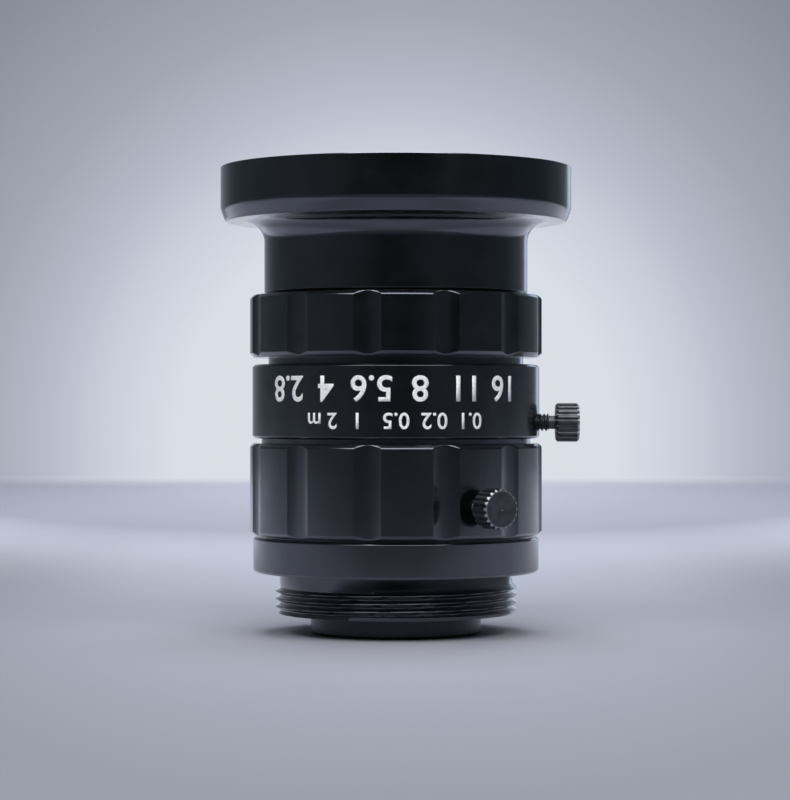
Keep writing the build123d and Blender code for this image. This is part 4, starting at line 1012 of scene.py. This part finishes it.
def coated_glass(name, index, film_nm):
    """Clear polished glass with a thin film; a faint unevenness keeps it from looking like air."""
    made, tree, shader, place = new_material(name)
    haze = add_node(
        tree, "TexNoise", inputs={"Scale": per_mm(3.0), "Detail": 2.0}, links={"Vector": place},
    ).outputs["Fac"]
    tone = add_node(
        tree, "ValToRGB", links={"Fac": haze}, stops=[(0.3, "#f4faf7"), (0.7, "#fbfdfc")],
    ).outputs["Color"]
    rough = add_node(tree, "MapRange", inputs={
        "From Min": 0.3, "From Max": 0.7, "To Min": 0.0, "To Max": 0.015,
    }, links={"Value": haze}).outputs["Result"]
    tree.links.new(tone, shader.inputs["Base Color"])
    tree.links.new(rough, shader.inputs["Roughness"])
    set_sockets(shader, {
        "Transmission Weight": 1.0, "IOR": index,
        "Thin Film Thickness": film_nm, "Thin Film IOR": FILM_INDEX,
    })
    return made


crown_glass = coated_glass("coated_crown_glass", 1.52, 110.0)
flint_glass = coated_glass("coated_flint_glass", 1.70, 125.0)

# %% [markdown]
# ## Give every piece its finish
# The record says which material slot each solid has. A new piece is named after the solid that it
# stands for, so it takes the same finish, and what stands for no solid is print.

# %% Finishes by slot
slot_finish = {
    "black_anodised": body_finish,
    "label_anodised": label_finish,
    "black_steel": screw_finish,
    "bright_steel": pin_finish,
    "blade_steel": blade_finish,
    "inner_black": inner_finish,
    "coated_glass": crown_glass,
}
node_finish = {
    "lens_2": flint_glass,
    "lens_3": flint_glass,
    "lens_6": flint_glass,
    "rear_cell": cell_finish,
}


def finish_piece(piece, node):
    """Put the finish of one solid on a piece, in its mesh or in its existing slots."""
    material = ink_finish
    if node is not None:
        material = node_finish.get(node, slot_finish[slot_of(node)])
    if piece.material_slots:
        for slot in piece.material_slots:
            slot.material = material
    else:
        piece.data.materials.append(material)


for node in frame["nodes"]:
    finish_piece(frame["nodes"][node], node)
new_pieces = [o for o in scene.objects if o.type == "MESH" and "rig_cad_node" not in o]
for piece in new_pieces:
    finish_piece(piece, next((n for n in frame["nodes"] if piece.name.startswith(n + "_")), None))
print("finished", len(frame["nodes"]), "solids and", len(new_pieces), "new pieces")

# %% [markdown]
# ## Table, backdrop, light and camera
# The lens stands on a pale table, and a pale wall behind it glows in the middle, as under one soft
# lamp. Black gloss looks like what it mirrors, so the surroundings are drawn with care. The table
# ends just in front of the picture and the room behind the camera is dark, so the upper half of
# the lens stays black, while the lower half mirrors the table. The table's colour is painted light
# and shade in two soft pools, one near and one far, measured as a distance from their centres.
# Towards its far edge the table fades into the wall, because the photo's horizon is out of focus.

# %% Table and backdrop
TABLE_NEAR, WALL_Y, STUDIO_HALF, WALL_TOP = -0.125, 0.62, 1.2, 1.2
FADE_START, FADE_END = 0.489, 0.60
POOLS_START, POOLS_END = 0.06, 0.30
# The table's two pools are painted light and shade. The near one is lighter in its middle, darker in a
# ring round it and lighter again outside. The far one is brightest in its middle and darkest near its
# reach.
NEAR_PAINTED_LIGHT_AND_SHADE = [
    (0.00, "#b5b7c3"), (0.20, "#afb1bd"), (0.30, "#a9abb6"), (0.40, "#9899a4"), (0.50, "#898b94"),
    (0.58, "#898b94"), (0.68, "#a6a8b3"), (1.00, "#b4b6c2"),
]
FAR_PAINTED_LIGHT_AND_SHADE = [
    (0.00, "#ecefff"), (0.15, "#e5e7f7"), (0.30, "#dcdeed"), (0.45, "#d2d4e2"), (0.60, "#c5c7d4"),
    (0.80, "#b6b8c5"), (1.00, "#e8ebf8"),
]
WALL_GLOW = [
    (0.0, "#dee2e9"), (0.103, "#dadee6"), (0.14, "#c9cdda"), (0.163, "#b8bccb"), (0.203, "#a2a7b3"),
    (0.27, "#8a8f9b"), (0.34, "#7b818c"), (0.75, "#5b636a"), (1.0, "#4e575d"),
]


def add_sheet(name, section, material):
    """Sheet that carries a section of (y, z) points across the studio, in metres."""
    points = [(x, y, z) for y, z in section for x in (-STUDIO_HALF, STUDIO_HALF)]
    faces = [(2 * k, 2 * k + 1, 2 * k + 3, 2 * k + 2) for k in range(len(section) - 1)]
    mesh = bpy.data.meshes.new(name)
    mesh.from_pydata(points, [], faces)
    mesh.materials.append(material)
    add_object(name, mesh)


def pool(tree, place, centre, reach, stops):
    """Colour by the distance from a centre, in units of reach along each axis; 0 skips an axis."""
    moved = add_node(tree, "Mapping", inputs={
        "Location": [-c / r if r else 0 for c, r in zip(centre, reach)],
        "Scale": [1 / r if r else 0 for r in reach],
    }, links={"Vector": place})
    away = add_node(
        tree, "VectorMath", {"operation": "LENGTH"}, links={0: moved.outputs["Vector"]},
    ).outputs["Value"]
    return add_node(tree, "ValToRGB", links={"Fac": away}, stops=stops).outputs["Color"]


def studio_surface():
    """Matte paper that turns into a glowing wall: both mixes follow y, and the paper's colours are soft
    pools of painted light and shade.
    """
    made, tree, shader, place = new_material("pale_studio_paper")
    far = add_node(tree, "SeparateXYZ", links={"Vector": place}).outputs["Y"]
    near_painted_light = pool(tree, place, (0, 0.16, 0), (0.13, 0.56, 0), NEAR_PAINTED_LIGHT_AND_SHADE)
    far_painted_light = pool(tree, place, (0, 0.55, 0), (0.16, 0.42, 0), FAR_PAINTED_LIGHT_AND_SHADE)
    onward = add_node(
        tree, "MapRange", {"interpolation_type": "SMOOTHSTEP"},
        {"From Min": POOLS_START, "From Max": POOLS_END}, {"Value": far},
    ).outputs["Result"]
    paper = add_node(
        tree, "Mix", {"data_type": "RGBA"}, links={0: onward, 6: near_painted_light, 7: far_painted_light},
    ).outputs[2]
    tree.links.new(paper, shader.inputs["Base Color"])
    set_sockets(shader, {"Roughness": 0.7, "Specular IOR Level": 0.1})
    wall = pool(tree, place, (0, 0, 0.0094), (0.72, 0, 0.72), WALL_GLOW)
    glow = add_node(tree, "Emission", links={"Color": wall}).outputs["Emission"]
    fade = add_node(
        tree, "MapRange", {"interpolation_type": "SMOOTHSTEP"},
        {"From Min": FADE_START, "From Max": FADE_END}, {"Value": far},
    ).outputs["Result"]
    both = add_node(tree, "MixShader", links={0: fade, 1: shader.outputs["BSDF"], 2: glow})
    output = next(n for n in tree.nodes if n.bl_idname == "ShaderNodeOutputMaterial")
    tree.links.new(both.outputs["Shader"], output.inputs["Surface"])
    return made


table_z = REAR_Z * MM
add_sheet("studio", [(TABLE_NEAR, table_z), (WALL_Y, table_z), (WALL_Y, WALL_TOP)], studio_surface())

# %% [markdown]
# The camera is level with the label band, where the photo's ellipses turn into straight lines, and
# the way they open above and below gives its distance. Its lens then follows from the scale of 9.5
# pixels to the millimetre at the axis.

# %% Camera
CAMERA_DISTANCE = 0.279
EYE_HEIGHT = 24.05  # over the table
LENS_MM = 119.3
SENSOR_MM = 36.0
IMAGE_W, IMAGE_H = 790, 800
AXIS_PX, EYE_PX = 395.9, 404.0  # where the photo has the lens's axis and its eye level

camera_data = bpy.data.cameras.new("camera")
camera_data.lens = LENS_MM
camera_data.sensor_width = SENSOR_MM
camera_data.sensor_fit = "AUTO"
camera_data.shift_x = (IMAGE_W / 2 - AXIS_PX) / IMAGE_H
camera_data.shift_y = (EYE_PX - IMAGE_H / 2) / IMAGE_H
camera_data.clip_start = 0.01
camera = add_object("camera", camera_data)
camera.location = (0, -CAMERA_DISTANCE, (REAR_Z + EYE_HEIGHT) * MM)
camera.rotation_euler = (math.pi / 2, 0, 0)
scene.camera = camera
print("camera at", [round(v, 4) for v in camera.location])

# %% [markdown]
# Three soft boxes: a wide one in front and above fills the room, one straight above draws the
# glints on the upper edges, and a faint cool one behind on the right lines the right silhouette.


# %% Lamps
def soft_box(name, spot, aim, width, height, power, colour):
    """Rectangular area lamp at a spot, turned to face a point, in metres and watts."""
    data = bpy.data.lights.new(name, "AREA")
    data.shape = "RECTANGLE"
    data.size, data.size_y = width, height
    data.energy = power
    data.color = linear(colour)[:3]
    lamp = add_object(name, data)
    lamp.location = spot
    lamp.rotation_euler = (Vector(aim) - Vector(spot)).to_track_quat("-Z", "Y").to_euler()
    print(name, power, "W")


middle = (0, 0, 0.022)
soft_box("back_right_box", (0.25, 0.60, 0.08), middle, 0.16, 0.45, 0.17, "#cfe4ff")
soft_box("front_box", (0.0, -0.42, 0.52), middle, 0.90, 0.50, 5.0, "#ffffff")
soft_box("top_box", (0.01, 0.12, 0.70), (0.01, 0.12, 0), 0.36, 0.44, 3.2, "#f6f9ff")

# %% [markdown]
# The world is the room that the gloss mirrors beside the table and the wall. It is dark behind the
# camera and lighter beyond the wall, a little lighter on the left than on the right, and below the
# horizon it is the grey of a table that goes on.

# %% World
LEFT_ROOM = [(0.0, "#0e1212"), (0.08, "#414849"), (0.30, "#575d60"), (0.75, "#4a555c"), (1.0, "#7d828e")]
RIGHT_ROOM = [(0.0, "#0e1212"), (0.08, "#3e4546"), (0.30, "#3c4447"), (0.75, "#3d4850"), (1.0, "#7d828e")]
BELOW_HORIZON = "#6c7078"

world = bpy.data.worlds.new("studio")
scene.world = world
world.use_nodes = True
tree = world.node_tree
tree.nodes.clear()
direction = add_node(tree, "TexCoord").outputs["Generated"]
parts = add_node(tree, "SeparateXYZ", links={"Vector": direction})
onward = add_node(
    tree, "MapRange", inputs={"From Min": -1.0, "From Max": 1.0}, links={"Value": parts.outputs["Y"]},
).outputs["Result"]
side = add_node(
    tree, "MapRange", inputs={"From Min": -0.2, "From Max": 0.2}, links={"Value": parts.outputs["X"]},
).outputs["Result"]
below = add_node(
    tree, "MapRange", inputs={"From Min": 0.0, "From Max": -0.06}, links={"Value": parts.outputs["Z"]},
).outputs["Result"]
left = add_node(tree, "ValToRGB", links={"Fac": onward}, stops=LEFT_ROOM).outputs["Color"]
right = add_node(tree, "ValToRGB", links={"Fac": onward}, stops=RIGHT_ROOM).outputs["Color"]
room = add_node(tree, "Mix", {"data_type": "RGBA"}, links={0: side, 6: left, 7: right}).outputs[2]
lit_room = add_node(
    tree, "Mix", {"data_type": "RGBA"}, {7: linear(BELOW_HORIZON)}, {0: below, 6: room},
).outputs[2]
around = add_node(tree, "Background", links={"Color": lit_room})
add_node(tree, "OutputWorld", links={"Surface": around.outputs["Background"]})
scene.view_settings.view_transform = "Standard"
print("world nodes", len(tree.nodes))
